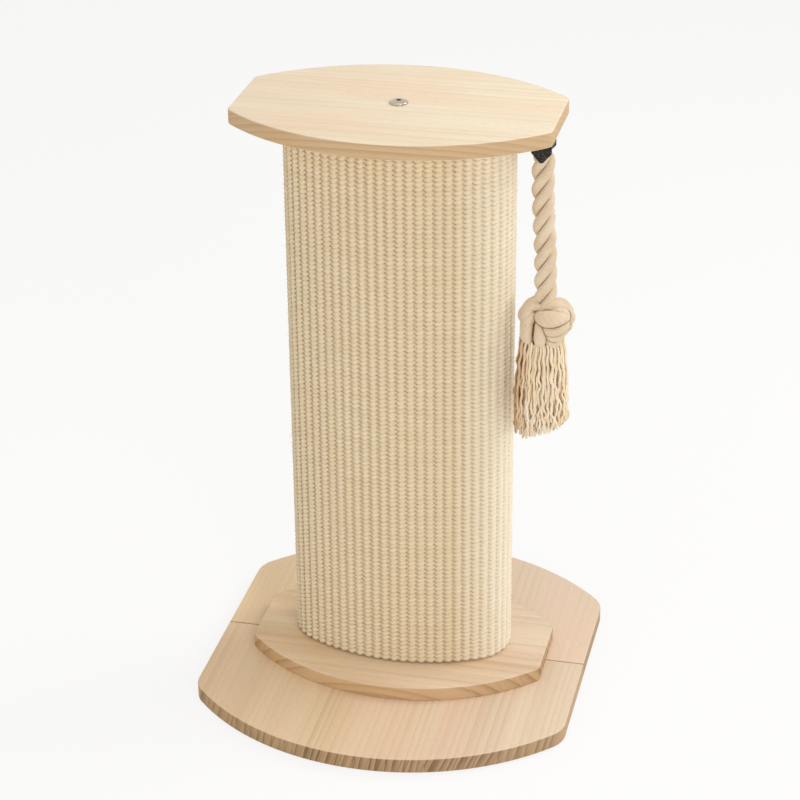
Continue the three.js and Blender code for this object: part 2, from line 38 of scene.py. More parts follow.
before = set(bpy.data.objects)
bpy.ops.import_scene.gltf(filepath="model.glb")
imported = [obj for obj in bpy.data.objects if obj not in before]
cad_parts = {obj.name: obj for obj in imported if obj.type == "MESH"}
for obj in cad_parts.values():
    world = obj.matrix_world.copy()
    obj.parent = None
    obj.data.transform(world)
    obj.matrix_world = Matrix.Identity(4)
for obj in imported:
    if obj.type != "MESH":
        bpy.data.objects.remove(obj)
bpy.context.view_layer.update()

# ---------------------------------------------------------------- sizes

# Boards, as front and back arcs, straight ends and rounded corners.
BASE = dict(width=0.400, depth=0.440, arc=0.262, corner=0.034)
RISER = dict(width=0.318, depth=0.225, arc=0.216, corner=0.009)
TOP = dict(width=0.324, depth=0.231, arc=0.230, corner=0.010)
BASE_BOTTOM, BASE_TOP, RISER_TOP = 0.002, 0.019, 0.035
COLUMN_TOP, POST_TOP = 0.630, 0.646
EDGE_ROUND = 0.0016
SEAM_CHAMFER, SEAM_GAP = 0.0011, 0.0008
BASE_BOLT_X, BASE_BOLT_Y = 0.110, 0.058
RECESS_DIAMETER, RECESS_DEPTH, CUT_PAST = 0.017, 0.004, 0.002

# Column, measured over its woven cover.
COLUMN_WIDTH, COLUMN_DEPTH, COLUMN_END_RADIUS = 0.238, 0.132, 0.048
COVER_BOTTOM, COVER_TOP = 0.0353, 0.6297
RIBS, ROWS = 60, 119

# Rope toy. The lay is the length in which a strand goes once round the rope.
HANGER_X, HANGER_Y, PIN_Z = 0.1515, -0.036, 0.6183
ROPE_TOP, ROPE_DIAMETER, ROPE_LENGTH, ROPE_LEAN = 0.6229, 0.023, 0.157, 0.0045
ROPE_LAY, ROPE_IN_KNOT = 0.058, 0.020
KNOT_TOP, KNOT_HEIGHT, KNOT_DIAMETER = 0.4656, 0.056, 0.060
TASSEL_TOP, TASSEL_LENGTH, TASSEL_IN_KNOT, TASSEL_SHIFT = 0.4093, 0.098, 0.003, -0.0025

# Turns to the metre of sisal plies, sisal fibres and cotton yarns.
SISAL_TWIST, SISAL_FIBRE_TWIST, YARN_TWIST = 105.0, 46.0, 30.0
FOOT_SHADOW = 0.0032  # height of the dark line where the sisal stands on the riser

# Fittings. A bolt's socket is measured across its flats.
TOP_BOLT = dict(diameter=0.008, length=0.040, head=0.0185, height=0.0034, socket=0.005, depth=0.0022)
BASE_BOLT = dict(diameter=0.006, length=0.026, head=0.014, height=0.003, socket=0.004, depth=0.0018)
BOLT_RIM_SHARE, SHANK_CHAMFER, HEAD_EASE = 0.35, 0.0008, 0.0003
PAD_THICKNESS, PAD_EASE, PAD_TOP_EASE = 0.002, 0.0004, 0.0003
PIN_RADIUS, PIN_HEAD_RADIUS, PIN_HEAD_HEIGHT, PIN_FIT = 0.0015, 0.003, 0.0013, 0.0001
CLEVIS_HALF_WIDTH, CLEVIS_EASE = 0.0133, 0.0004

# ---------------------------------------------------------------- camera

CAMERA_PLACE = Vector((0.51890, -2.17303, 1.45030))
CAMERA_TARGET = Vector((-0.037846, -0.015482, 0.330947))
CAMERA_ROLL = math.radians(-1.001)
CAMERA_LENS = 107.72
CAMERA_SHIFT = (0.04658, -0.00988)

camera = bpy.data.objects.new("camera", bpy.data.cameras.new("camera"))
bpy.context.scene.collection.objects.link(camera)
bpy.context.scene.camera = camera
looking = (CAMERA_TARGET - CAMERA_PLACE).to_track_quat("-Z", "Y").to_matrix().to_4x4()
camera.matrix_world = Matrix.Translation(CAMERA_PLACE) @ looking @ Matrix.Rotation(CAMERA_ROLL, 4, "Z")
camera.data.lens = CAMERA_LENS
camera.data.shift_x, camera.data.shift_y = CAMERA_SHIFT
bpy.context.scene.view_settings.view_transform = "Standard"

# ---------------------------------------------------------------- node trees as expressions


class Nodes:
    """A node tree written as expressions: each call adds a node and returns one of its outputs."""

    def __init__(self, tree):
        self.tree = tree

    def add(self, kind, *values, out=0, named=None, **settings):
        """values fill the inputs in order, None skips one, and named gives inputs by name."""
        made = self.tree.nodes.new(kind)
        for setting, value in settings.items():
            setattr(made, setting, value)
        inputs = [socket for socket in made.inputs if socket.enabled]
        given = list(zip(inputs, values))
        by_name = {socket.name: socket for socket in reversed(inputs)}
        given += [(by_name[name], value) for name, value in (named or {}).items()]
        for socket, value in given:
            if isinstance(value, bpy.types.NodeSocket):
                self.tree.links.new(value, socket)
            elif value is not None:
                socket.default_value = value
        outputs = [socket for socket in made.outputs if socket.enabled]
        if isinstance(out, str):
            return next(socket for socket in outputs if socket.name == out)
        return outputs[out] if outputs else made

    def math(self, operation, *values):
        return self.add("ShaderNodeMath", *values, operation=operation)

    def plus(self, a, b):
        return self.math("ADD", a, b)

    def times(self, a, b):
        return self.math("MULTIPLY", a, b)

    def vector(self, x=0.0, y=0.0, z=0.0):
        return self.add("ShaderNodeCombineXYZ", x, y, z)

    def parts(self, vector):
        split = self.add("ShaderNodeSeparateXYZ", vector).node
        return split.outputs[0], split.outputs[1], split.outputs[2]

    def scaled(self, vector, x, y, z):
        return self.add("ShaderNodeVectorMath", vector, (x, y, z), operation="MULTIPLY")

    def grown(self, vector, size):
        return self.add("ShaderNodeVectorMath", vector, named={"Scale": size}, operation="SCALE")

    def noise(self, vector, scale=1.0, detail=2.0, roughness=0.5):
        named = {"Scale": scale, "Detail": detail, "Roughness": roughness}
        return self.add("ShaderNodeTexNoise", vector, named=named)

    def fit(self, value, low, high, to_low=0.0, to_high=1.0):
        return self.add("ShaderNodeMapRange", value, low, high, to_low, to_high)

    def blend(self, share, a, b, blend_type="MIX"):
        return self.add("ShaderNodeMix", share, a, b, data_type="RGBA", blend_type=blend_type)

    def shade(self, color, value):
        """color times a grey value."""
        return self.blend(1.0, color, self.vector(value, value, value), "MULTIPLY")

    def steps(self, value, stops):
        """A ramp of greys or colours from (place, colour) stops."""
        made = self.add("ShaderNodeValToRGB", value).node
        points = made.color_ramp.elements
        while len(points) < len(stops):
            points.new(0.5)
        for point, (place, color) in zip(points, stops):
            point.position = place
            point.color = (color, color, color, 1.0) if isinstance(color, float) else color
        return made.outputs["Color"]


def paint(code):
    """A linear colour from a web colour."""
    parts = [int(code[i : i + 2], 16) / 255 for i in (0, 2, 4)]
    linear = [p / 12.92 if p <= 0.04045 else ((p + 0.055) / 1.055) ** 2.4 for p in parts]
    return (*linear, 1.0)


def new_material(name):
    material = bpy.data.materials.new(name)
    material.use_nodes = True
    material.node_tree.nodes.clear()
    return material, Nodes(material.node_tree)


def surface(nodes, color, roughness, height=None, relief=0.0002, strength=1.0, **constants):
    """Ends a material: its colour, its roughness and the height of its relief in metres."""
    named = {"Base Color": color, "Roughness": roughness}
    if height is not None:
        shape = {"Strength": strength, "Distance": relief, "Height": height}
        named["Normal"] = nodes.add("ShaderNodeBump", named=shape)
    named.update({key.replace("_", " "): value for key, value in constants.items()})
    shader = nodes.add("ShaderNodeBsdfPrincipled", named=named)
    nodes.add("ShaderNodeOutputMaterial", shader)


def place_on_object(nodes):
    return nodes.add("ShaderNodeTexCoord", out="Object")


def attribute(nodes, name):
    return nodes.add("ShaderNodeAttribute", attribute_name=name, out="Fac")


# ---------------------------------------------------------------- materials


# Web colours of each board's early and late wood, on its faces and on its cut edges, which are
# darker partly as the wood's own colour and partly as painted shade, and of the dark ends of its open
# grain.
BASE_WOOD = dict(early="ebd2ab", late="cba16d", edge_early="b88f5e", edge_late="8f6839", burnt="5f4526")
RISER_WOOD = dict(early="ebd1aa", late="c89c66", edge_early="cda878", edge_late="ad8552", burnt="94704a")
TOP_WOOD = dict(early="f6e7cc", late="dfc194", edge_early="c79c66", edge_late="a67b45", burnt="d8bb8e")


def pine(name, wood, along, pith, start, ring_pitch, contrast, stave, streaks, pale):
    """Edge-glued pine: staves along X or Y, each with its growth rings about a pith off the board.

    contrast is how dark the late wood is, streaks how strong the darker streaks are, and pale how
    much paler and pinker the wood is painted at the board's right end, as painted light from the right.
    """
    material, n = new_material(name)
    colors = {key: paint(code) for key, code in wood.items()}
    turn = (0.0, 0.0, -math.pi / 2) if along == "Y" else (0.0, 0.0, 0.0)
    x, y, z = n.parts(n.add("ShaderNodeMapping", place_on_object(n), start, turn))
    number = n.math("FLOOR", n.math("DIVIDE", y, stave))
    own = n.add("ShaderNodeTexWhiteNoise", n.vector(number, 3.0, 7.0), out="Color")
    own_a, own_b, own_c = n.parts(own)
    grain = n.vector(n.plus(x, own_a), y, z)
    sway = n.noise(n.scaled(grain, 2.4, 7.0, 7.0), detail=1.0)
    ripple = n.noise(n.scaled(grain, 14.0, 90.0, 90.0), detail=2.0)
    across = n.plus(n.plus(y, pith[0]), n.times(own_b, 0.09))
    through = n.plus(z, n.plus(pith[1], n.times(own_c, 0.12)))
    radius = n.math("SQRT", n.plus(n.times(across, across), n.times(through, through)))
    radius = n.plus(radius, n.times(n.plus(sway, -0.5), 0.012))
    radius = n.plus(radius, n.times(n.plus(ripple, -0.5), 0.0016))
    uneven = n.noise(n.vector(n.times(radius, 75.0)), detail=1.0)
    rings = n.plus(n.times(radius, 1 / ring_pitch), n.times(uneven, 1.9))
    ring_stops = [(0.0, 0.05), (0.5, 0.2), (0.86, 0.8), (0.95, 1.0), (1.0, 0.05)]
    latewood = n.steps(n.math("FRACT", rings), ring_stops)
    strength = n.fit(n.noise(n.scaled(grain, 1.3, 26.0, 26.0), detail=1.0), 0.32, 0.68, 0.15, 1.0)
    fibres = n.noise(n.scaled(grain, 26.0, 900.0, 900.0), detail=3.0, roughness=0.65)
    flecks = n.fit(n.noise(n.scaled(grain, 150.0, 1900.0, 1900.0), detail=0.0), 0.66, 0.74)
    streak = n.fit(n.noise(n.scaled(grain, 1.6, 34.0, 34.0), detail=2.0), 0.35, 0.75)
    facing = n.parts(n.add("ShaderNodeTexCoord", out="Normal"))
    end_grain = n.math("POWER", n.math("ABSOLUTE", facing["XY".index(along)]), 2.0)
    sawn_and_shaded = n.fit(n.math("ABSOLUTE", facing[2]), 0.25, 0.8, 1.0, 0.0)
    color = n.blend(n.times(latewood, n.times(strength, contrast)), colors["early"], colors["late"])
    color = n.blend(n.times(streak, streaks), color, colors["late"])
    color = n.shade(color, n.fit(own_b, 0.0, 1.0, 0.965, 1.02))
    blush = n.noise(n.scaled(grain, 5.0, 16.0, 16.0), detail=1.0)
    color = n.blend(n.fit(blush, 0.42, 0.62, 0.0, 0.32), color, paint("f0c8a6"))
    # Painted light: the wood is painted paler and pinker towards the board's right end, as if lit from
    # the right.
    right_x = n.parts(place_on_object(n))[0]
    pinker = n.blend(1.0, color, (1.01, 1.06, 1.27, 1.0), "MULTIPLY")
    color = n.blend(n.fit(right_x, -0.10, 0.13, 0.0, pale), color, pinker)
    # The sides take the edge colours: partly the wood's own colour, partly painted shade on faces turned
    # from the light.
    edge = n.blend(latewood, colors["edge_early"], colors["edge_late"])
    color = n.blend(n.times(sawn_and_shaded, 0.72), color, edge)
    open_grain = n.times(end_grain, sawn_and_shaded)
    soaked = n.fit(n.times(latewood, strength), 0.0, 0.8, 0.15, 0.7)
    tear = n.noise(n.vector(n.plus(n.times(y, 420.0), n.times(z, 150.0)), number), detail=2.0)
    for share in (soaked, n.fit(tear, 0.52, 0.68, 0.0, 0.6)):
        color = n.blend(n.times(open_grain, share), color, colors["burnt"])
    color = n.shade(color, n.fit(fibres, 0.25, 0.75, 0.97, 1.02))
    color = n.shade(color, n.fit(flecks, 0.0, 1.0, 1.0, 0.88))
    height = n.plus(n.times(fibres, 0.6), n.times(latewood, 0.4))
    roughness = n.plus(n.fit(fibres, 0.3, 0.7, 0.50, 0.62), n.times(sawn_and_shaded, 0.12))
    surface(n, color, roughness, height, relief=0.00022, strength=0.35)
    return material


def wound(n, twist):
    """Turns round a yarn for what winds along it, from the yarn's around and along attributes."""
    return n.plus(attribute(n, "around"), n.times(attribute(n, "along"), twist))


def fine_fibres(n, twist, fineness):
    """Fine streaks that wind along a yarn."""
    streaks = n.vector(n.times(attribute(n, "along"), 70.0), n.times(wound(n, twist), fineness))
    return n.noise(streaks, detail=3.0, roughness=0.6)


def sisal(name, tint):
    """Sisal: stiff pale fibres wound into yarns, with painted shade where a yarn dips or meets the next
    row.
    """
    material, n = new_material(name)
    place = place_on_object(n)
    fibres = fine_fibres(n, SISAL_FIBRE_TWIST, 9.0)
    ply = n.math("ABSOLUTE", n.math("SINE", n.times(wound(n, SISAL_TWIST), math.pi * 2)))
    # Painted shade in the grooves between the plies.
    ply_shade = n.math("POWER", n.math("SUBTRACT", 1.0, ply), 4.0)
    patch = n.noise(n.scaled(place, 9.0, 9.0, 9.0), detail=2.0)
    by_row = n.noise(n.scaled(place, 16.0, 16.0, 210.0), detail=1.0)
    dip = attribute(n, "dip")
    color = n.blend(n.fit(by_row, 0.3, 0.7), paint("ecdab8"), paint("e4cfa6"))
    color = n.blend(n.fit(patch, 0.35, 0.7, 0.0, 0.5), color, paint("e8d2b0"))
    color = n.blend(n.fit(fibres, 0.55, 0.8, 0.0, 0.5), color, paint("d9c194"))
    # Painted shade along the flanks where a yarn meets the rows above and below it.
    flank = n.math("ABSOLUTE", n.plus(attribute(n, "around"), -0.5))
    row_meeting_shade = n.steps(flank, [(0.0, 0.0), (0.112, 0.0), (0.160, 1.0), (0.30, 1.0), (0.34, 0.0)])
    color = n.blend(n.times(row_meeting_shade, n.fit(dip, 0.0, 0.6, 0.22, 0.42)), color, paint("a98c58"))
    # Painted shade in the grooves between ribs, where the yarn dips.
    color = n.shade(color, n.fit(dip, 0.2, 1.0, 1.02, 0.88))
    color = n.shade(color, n.fit(ply_shade, 0.0, 1.0, 1.0, 0.92))
    color = n.blend(1.0, color, tint, "MULTIPLY")
    x, _, z = n.parts(place)
    color = n.blend(n.fit(z, COVER_BOTTOM, COVER_BOTTOM + FOOT_SHADOW, 0.8, 0.0), color, paint("6f5a34"))
    # Painted light: the sisal is painted paler towards the column's right end, where the lamps light it.
    color = n.blend(n.fit(x, 0.066, 0.112, 0.0, 0.7), color, paint("fff4de"))
    height = n.plus(n.times(fibres, 0.7), n.times(ply, 0.5))
    surface(n, color, 0.82, height, relief=0.0005, strength=0.7, Sheen_Weight=0.6, Sheen_Roughness=0.45)
    return material


def cotton(name, plies, yarn_groove_shade, light, dark):
    """Cotton yarns laid along a strand, plies of them round it.

    Painted shade darkens it between strands and yarns, and browns the tassel's side near the column.
    """
    material, n = new_material(name)
    place = place_on_object(n)
    fibres = fine_fibres(n, YARN_TWIST, 14.0)
    yarn = n.math("ABSOLUTE", n.math("SINE", n.times(wound(n, YARN_TWIST), math.pi * plies)))
    groove = n.math("POWER", n.math("SUBTRACT", 1.0, yarn), 3.0)
    patch = n.noise(n.scaled(place, 40.0, 40.0, 40.0), detail=2.0)
    color = n.blend(n.fit(patch, 0.3, 0.7), light, dark)
    # Painted shade in the grooves between yarns.
    color = n.blend(n.times(groove, yarn_groove_shade), color, paint("b8976b"))
    color = n.blend(n.fit(fibres, 0.5, 0.8, 0.0, 0.35), color, paint("f3e4cb"))
    # Painted shade in the creases where strands meet.
    color = n.blend(n.fit(attribute(n, "crease_shade"), 0.15, 0.85, 0.0, 0.8), color, paint("7a5c38"))
    # Painted shade: browner where the tassel hangs against the column.
    color = n.blend(n.times(attribute(n, "column_shade"), 0.85), color, paint("c08f57"))
    height = n.plus(n.times(yarn, 0.7), n.times(fibres, 0.5))
    surface(n, color, 0.9, height, relief=0.0005, strength=0.55, Sheen_Weight=0.15, Sheen_Roughness=0.5)
    return material


def plated(name, color, roughness):
    """Plated steel with faint turning marks."""
    material, n = new_material(name)
    place = place_on_object(n)
    marks = n.noise(n.scaled(place, 900.0, 900.0, 90.0), detail=3.0)
    smear = n.noise(n.scaled(place, 60.0, 60.0, 60.0), detail=2.0)
    color = n.shade(color, n.fit(smear, 0.3, 0.7, 0.92, 1.04))
    rough = n.plus(n.fit(marks, 0.3, 0.7, roughness, roughness + 0.08), n.times(smear, 0.05))
    surface(n, color, rough, marks, relief=0.00003, strength=0.4, Metallic=1.0)
    return material


def black_enamel(name):
    """Black paint with a fine orange peel and brown spots: worn spots, lightened as painted highlights.
    """
    material, n = new_material(name)
    place = place_on_object(n)
    peel = n.noise(n.scaled(place, 700.0, 700.0, 700.0), detail=1.0)
    # Brown spots: worn paint, also standing in as painted highlights.
    wear_and_glint = n.fit(n.noise(n.scaled(place, 260.0, 260.0, 260.0), detail=4.0), 0.52, 0.70, 0.0, 0.8)
    color = n.blend(wear_and_glint, paint("14100c"), paint("5f4a34"))
    gloss = n.fit(peel, 0.3, 0.7, 0.24, 0.36)
    surface(n, color, gloss, peel, relief=0.00006, strength=0.5, Specular_IOR_Level=0.35)
    return material


def felt(name):
    """Grey pressed felt."""
    material, n = new_material(name)
    place = place_on_object(n)
    fuzz = n.noise(n.scaled(place, 1500.0, 1500.0, 1500.0), detail=4.0, roughness=0.75)
    clump = n.noise(n.scaled(place, 220.0, 220.0, 220.0), detail=3.0)
    color = n.blend(n.fit(fuzz, 0.3, 0.7), paint("8b857c"), paint("a8a198"))
    color = n.shade(color, n.fit(clump, 0.3, 0.7, 0.88, 1.06))
    surface(n, color, 0.97, fuzz, relief=0.0004, strength=0.8)
    return material


def paperboard(name):
    """The wound paper tube: brown kraft with its spiral joints."""
    material, n = new_material(name)
    place = place_on_object(n)
    x, y, z = n.parts(place)
    spiral = n.math("FRACT", n.times(n.plus(z, n.times(n.math("ARCTAN2", y, x), 0.012)), 12.0))
    joint = n.fit(spiral, 0.985, 1.0)
    fuzz = n.noise(n.scaled(place, 300.0, 300.0, 700.0), detail=3.0)
    color = n.blend(n.fit(fuzz, 0.3, 0.7), paint("b3946a"), paint("c4a77c"))
    color = n.shade(color, n.fit(joint, 0.0, 1.0, 1.0, 0.75))
    surface(n, color, 0.9, fuzz, relief=0.0002, strength=0.5)
    return material


def pressed_wood(name):
    """Fibreboard of the column's end plugs."""
    material, n = new_material(name)
    place = place_on_object(n)
    chips = n.noise(n.scaled(place, 420.0, 420.0, 900.0), detail=4.0, roughness=0.7)
    color = n.blend(n.fit(chips, 0.3, 0.7), paint("b8925f"), paint("cfae7c"))
    surface(n, color, 0.85, chips, relief=0.0002, strength=0.4)
    return material


def beech(name):
    """Beech dowels: pinkish wood with short dark flecks along the grain."""
    material, n = new_material(name)
    place = place_on_object(n)
    flecks = n.fit(n.noise(n.scaled(place, 1500.0, 1500.0, 260.0), detail=1.0), 0.6, 0.7)
    grain = n.noise(n.scaled(place, 500.0, 500.0, 30.0), detail=2.0)
    color = n.blend(n.fit(grain, 0.3, 0.7), paint("dcb98c"), paint("cfa678"))
    color = n.shade(color, n.fit(flecks, 0.0, 1.0, 1.0, 0.78))
    surface(n, color, 0.6, grain, relief=0.0001, strength=0.4)
    return material


# ---------------------------------------------------------------- meshes


def link(name, mesh, material=None):
    piece = bpy.data.objects.new(name, mesh)
    bpy.context.scene.collection.objects.link(piece)
    if material:
        piece.data.materials.append(material)
    return piece


def mesh_of(name, points, faces, material=None, attributes=None):
    """A mesh piece. attributes hold a value for each corner of each face, in the faces' order."""
    mesh = bpy.data.meshes.new(name)
    mesh.from_pydata([tuple(p) for p in points], [], faces)
    for key, values in (attributes or {}).items():
        made = mesh.attributes.new(key, "FLOAT", "CORNER")
        made.data.foreach_set("value", np.asarray(values, np.float32))
    mesh.validate()
    return link(name, mesh, material)


@contextmanager
def editing(mesh):
    """Opens a mesh for bmesh.ops and writes it back."""
    work = bmesh.new()
    work.from_mesh(mesh)
    yield work
    work.to_mesh(mesh)
    work.free()


def outward(mesh):
    """Merges a mesh's doubles and points its faces outward."""
    with editing(mesh) as work:
        bmesh.ops.remove_doubles(work, verts=work.verts, dist=1e-7)
        bmesh.ops.recalc_face_normals(work, faces=work.faces)


def smooth_up_to(mesh, degrees):
    """Shades faces as one where they meet at a smaller angle than this."""
    mesh.polygons.foreach_set("use_smooth", [True] * len(mesh.polygons))
    mesh.set_sharp_from_angle(angle=math.radians(degrees))


def settle(piece):
    """Turns what the modifiers make of a piece into its own mesh."""
    evaluated = piece.evaluated_get(bpy.context.evaluated_depsgraph_get())
    mesh = bpy.data.meshes.new_from_object(evaluated)
    if piece.type == "MESH":
        piece.modifiers.clear()
        piece.data = mesh
        return piece
    name = piece.name
    bpy.data.objects.remove(piece)
    return link(name, mesh)


def carve(piece, cutters):
    """Cuts the cutters out of a piece, and removes them."""
    for cutter in cutters:
        cut = piece.modifiers.new("cut", "BOOLEAN")
        cut.operation = "DIFFERENCE"
        cut.solver = "EXACT"
        cut.object = cutter
    settle(piece)
    for cutter in cutters:
        bpy.data.objects.remove(cutter)


def turned(name, profile, material=None, sides=48, place=(0, 0, 0), turn=None):
    """A body turned about Z from (radius, z) pairs; radius 0 is on the axis."""
    points, rings = [], []
    for radius, z in profile:
        if radius == 0:
            rings.append([len(points)] * sides)
            points.append((0, 0, z))
            continue
        rings.append([len(points) + i for i in range(sides)])
        for i in range(sides):
            angle = 2 * math.pi * i / sides
            points.append((radius * math.cos(angle), radius * math.sin(angle), z))
    faces = []
    for low, high in zip(rings, rings[1:]):
        for i in range(sides):
            j = (i + 1) % sides
            corners = [low[i], low[j], high[j], high[i]]
            faces.append(list(dict.fromkeys(corners)))
    piece = mesh_of(name, points, faces, material)
    piece.data.transform((turn or Matrix()).to_4x4())
    piece.data.transform(Matrix.Translation(place))
    outward(piece.data)
    smooth_up_to(piece.data, 35)
    return piece


def dome(radius, base, height, steps=8):
    """Profile points of a low dome, from its rim to its top."""
    arc = [(math.pi / 2) * i / steps for i in range(steps + 1)]
    return [(radius * math.cos(a) if a < arc[-1] else 0, base + height * math.sin(a)) for a in arc]


def board_outline(board, inset, arc_steps=36, corner_steps=10):
    """Points of a board's outline, anticlockwise from the middle of its front edge."""
    half_width, half_depth = board["width"] / 2, board["depth"] / 2
    arc, corner = board["arc"], board["corner"]
    arc_centre = arc - half_depth
    sweep = math.asin((half_width - corner) / (arc - corner))
    corner_x = half_width - corner
    corner_y = arc_centre - (arc - corner) * math.cos(sweep)
    quarter = []
    reach = arc - inset
    for i in range(arc_steps):
        angle = sweep * i / arc_steps
        quarter.append((reach * math.sin(angle), arc_centre - reach * math.cos(angle)))
    reach = corner - inset
    for i in range(corner_steps + 1):
        angle = sweep + (math.pi / 2 - sweep) * i / corner_steps
        quarter.append((corner_x + reach * math.sin(angle), corner_y - reach * math.cos(angle)))
    back = [(x, -y) for x, y in reversed(quarter)]
    left_back = [(-x, -y) for x, y in quarter[1:]]
    left_front = [(-x, y) for x, y in reversed(quarter)][:-1]
    return quarter + back + left_back + left_front


def eased(thickness, steps=4):
    """(inset, height) pairs up the side of a board whose edges are rounded."""
    turns = [(math.pi / 2) * i / steps for i in range(steps + 1)]
    lower = [(EDGE_ROUND * (1 - math.sin(a)), EDGE_ROUND * (1 - math.cos(a))) for a in turns]
    return lower + [(inset, thickness - height) for inset, height in reversed(lower)]


def stacked(name, rings, material):
    """A closed body from rings of equal length, bottom to top, capped at both ends."""
    count = len(rings[0])
    points = [point for ring in rings for point in ring]
    faces = [list(reversed(range(count)))]
    for level in range(len(rings) - 1):
        for i in range(count):
            j = (i + 1) % count
            low, high = level * count, (level + 1) * count
            faces.append([low + i, low + j, high + j, high + i])
    faces.append([(len(rings) - 1) * count + i for i in range(count)])
    piece = mesh_of(name, points, faces, material)
    outward(piece.data)
    smooth_up_to(piece.data, 40)
    return piece


def whole_board(name, board, bottom, top, material):
    """A board in one piece, with its edges rounded."""
    rings = []
    for inset, height in eased(top - bottom):
        rings.append([(x, y, bottom + height) for x, y in board_outline(board, inset)])
    return stacked(name, rings, material)


def half_board(name, board, side, bottom, top, material):
    """The front (side -1) or back (side 1) half of a board, with a fine chamfer along the seam."""
    rings = []
    for inset, height in eased(top - bottom):
        seam = SEAM_GAP / 2 + SEAM_CHAMFER * inset / EDGE_ROUND
        kept = [(x, y) for x, y in board_outline(board, inset) if y < -seam]
        right = [(x, y) for x, y in kept if x >= 0]
        left = [(x, y) for x, y in kept if x < 0]
        end = board["width"] / 2 - inset
        ring = [(-end, -seam), *left, *right, (end, -seam)]
        rings.append([(x, -side * y, bottom + height) for x, y in ring])
    return stacked(name, rings, material)


# ---------------------------------------------------------------- sweeps

STRAND_SIDES = 40


def length_of(points):
    return float(np.linalg.norm(np.diff(np.array(points), axis=0), axis=1).sum())


def gone_along(path):
    """The metres gone at each point of a path."""
    steps = np.linalg.norm(np.diff(path, axis=0), axis=1)
    return np.concatenate([[0.0], np.cumsum(steps)])


def unit(vectors):
    return vectors / np.linalg.norm(vectors, axis=1)[:, None]


def square_to(path):
    """Two directions square to each point of a path and to each other, carried along without twist."""
    tangents = unit(np.gradient(path, axis=0))
    sides = np.zeros_like(path)
    carried = np.array([0.0, 1.0, 0.0])
    for i, tangent in enumerate(tangents):
        carried = carried - tangent * (carried @ tangent)
        carried = carried / np.linalg.norm(carried)
        sides[i] = carried
    return sides, np.cross(tangents, sides)


def sweep(path, directions, half_widths, half_heights, squareness=1.0):
    """Points, faces and yarn coordinates of a tube along a path, with its ends closed.

    directions are those of its height and its width. The yarn coordinates are one pair for each
    corner of each face: metres along, turns around. A squareness under 1 fills out its corners.
    """
    out, across = directions
    sides = STRAND_SIDES
    angles = 2 * np.pi * np.arange(sides) / sides
    wide = np.sign(np.cos(angles)) * np.abs(np.cos(angles)) ** squareness
    high = np.sign(np.sin(angles)) * np.abs(np.sin(angles)) ** squareness
    ring = wide[None, :, None] * across[:, None] * np.asarray(half_widths)[:, None, None]
    ring = ring + high[None, :, None] * out[:, None] * np.asarray(half_heights)[:, None, None]
    points = (path[:, None] + ring).reshape(-1, 3)
    count = len(path)
    gone = gone_along(path)
    faces, along, around = [], [], []
    for i in range(count - 1):
        for j in range(sides):
            k = (j + 1) % sides
            faces.append([i * sides + j, i * sides + k, (i + 1) * sides + k, (i + 1) * sides + j])
            along += [gone[i], gone[i], gone[i + 1], gone[i + 1]]
            around += [j / sides, (j + 1) / sides, (j + 1) / sides, j / sides]
    for start, place in ((0, 0), ((count - 1) * sides, -1)):
        faces.append(list(range(start, start + sides)))
        along += [gone[place]] * sides
        around += [j / sides for j in range(sides)]
    return points, faces, along, around


def creases(tubes, reach):
    """For each corner of each tube, its painted crease shade: 1 on the surface of another tube down to 0
    at reach from it.
    """
    trees = [BVHTree.FromPolygons([tuple(point) for point in tube[0]], tube[1]) for tube in tubes]
    found = []
    for own, tube in enumerate(tubes):
        near = np.zeros(len(tube[0]))
        for other, tree in enumerate(trees):
            if other == own:
                continue
            for i, point in enumerate(tube[0]):
                gap = tree.find_nearest(Vector(point), reach)[3]
                if gap is not None:
                    near[i] = max(near[i], 1 - gap / reach)
        found.append(np.concatenate([near[face] for face in tube[1]]))
    return np.concatenate(found)


def joined(name, tubes, material, crease_shade):
    """One piece from several swept tubes."""
    points, faces, along, around, start = [], [], [], [], 0
    for tube_points, tube_faces, tube_along, tube_around in tubes:
        points.append(tube_points)
        faces += [[start + corner for corner in face] for face in tube_faces]
        along += tube_along
        around += tube_around
        start += len(tube_points)
    attributes = {"along": along, "around": around, "crease_shade": crease_shade}
    piece = mesh_of(name, np.concatenate(points), faces, material, attributes=attributes)
    with editing(piece.data) as work:
        bmesh.ops.recalc_face_normals(work, faces=work.faces)
    smooth_up_to(piece.data, 60)
    return piece


# ---------------------------------------------------------------- finishes

sisal_yarn = sisal("sisal_yarn", paint("ffffff"))
# The mat's back is tinted darker: painted shade in the gaps between the yarns.
sisal_back = sisal("sisal_back", paint("f0e2c4"))
rope_cotton = cotton("rope_cotton", 7, 0.14, paint("e6d3b9"), paint("dac2a1"))
tassel_cotton = cotton("tassel_cotton", 2, 0.10, paint("fff0d8"), paint("f6dfba"))
bright_steel = plated("bright_steel", paint("b9ae9e"), 0.16)
zinc_steel = plated("zinc_steel", paint("b4b8bc"), 0.36)
black_steel = black_enamel("black_steel")
gray_felt = felt("gray_felt")

# ---------------------------------------------------------------- rope

ROPE_BODY = "rope_toy"
SHOULDER_DROP = 0.01075  # from the pin down to where the rope starts to lean
# The rope's thickness near its top: how far below the top, and the share of its full thickness.
CROWN_DROP, CROWN_SHARE = [0, 0.0015, 0.0046, 0.0096], [0.34, 0.52, 0.78, 1.0]
YARN_RELIEF, YARNS_ROUND = 0.035, 8
# Strands are darkened with painted shade near their neighbours.
ROPE_CREASE, KNOT_CREASE = 0.0012, 0.0013  # how far from a neighbour a strand starts to darken


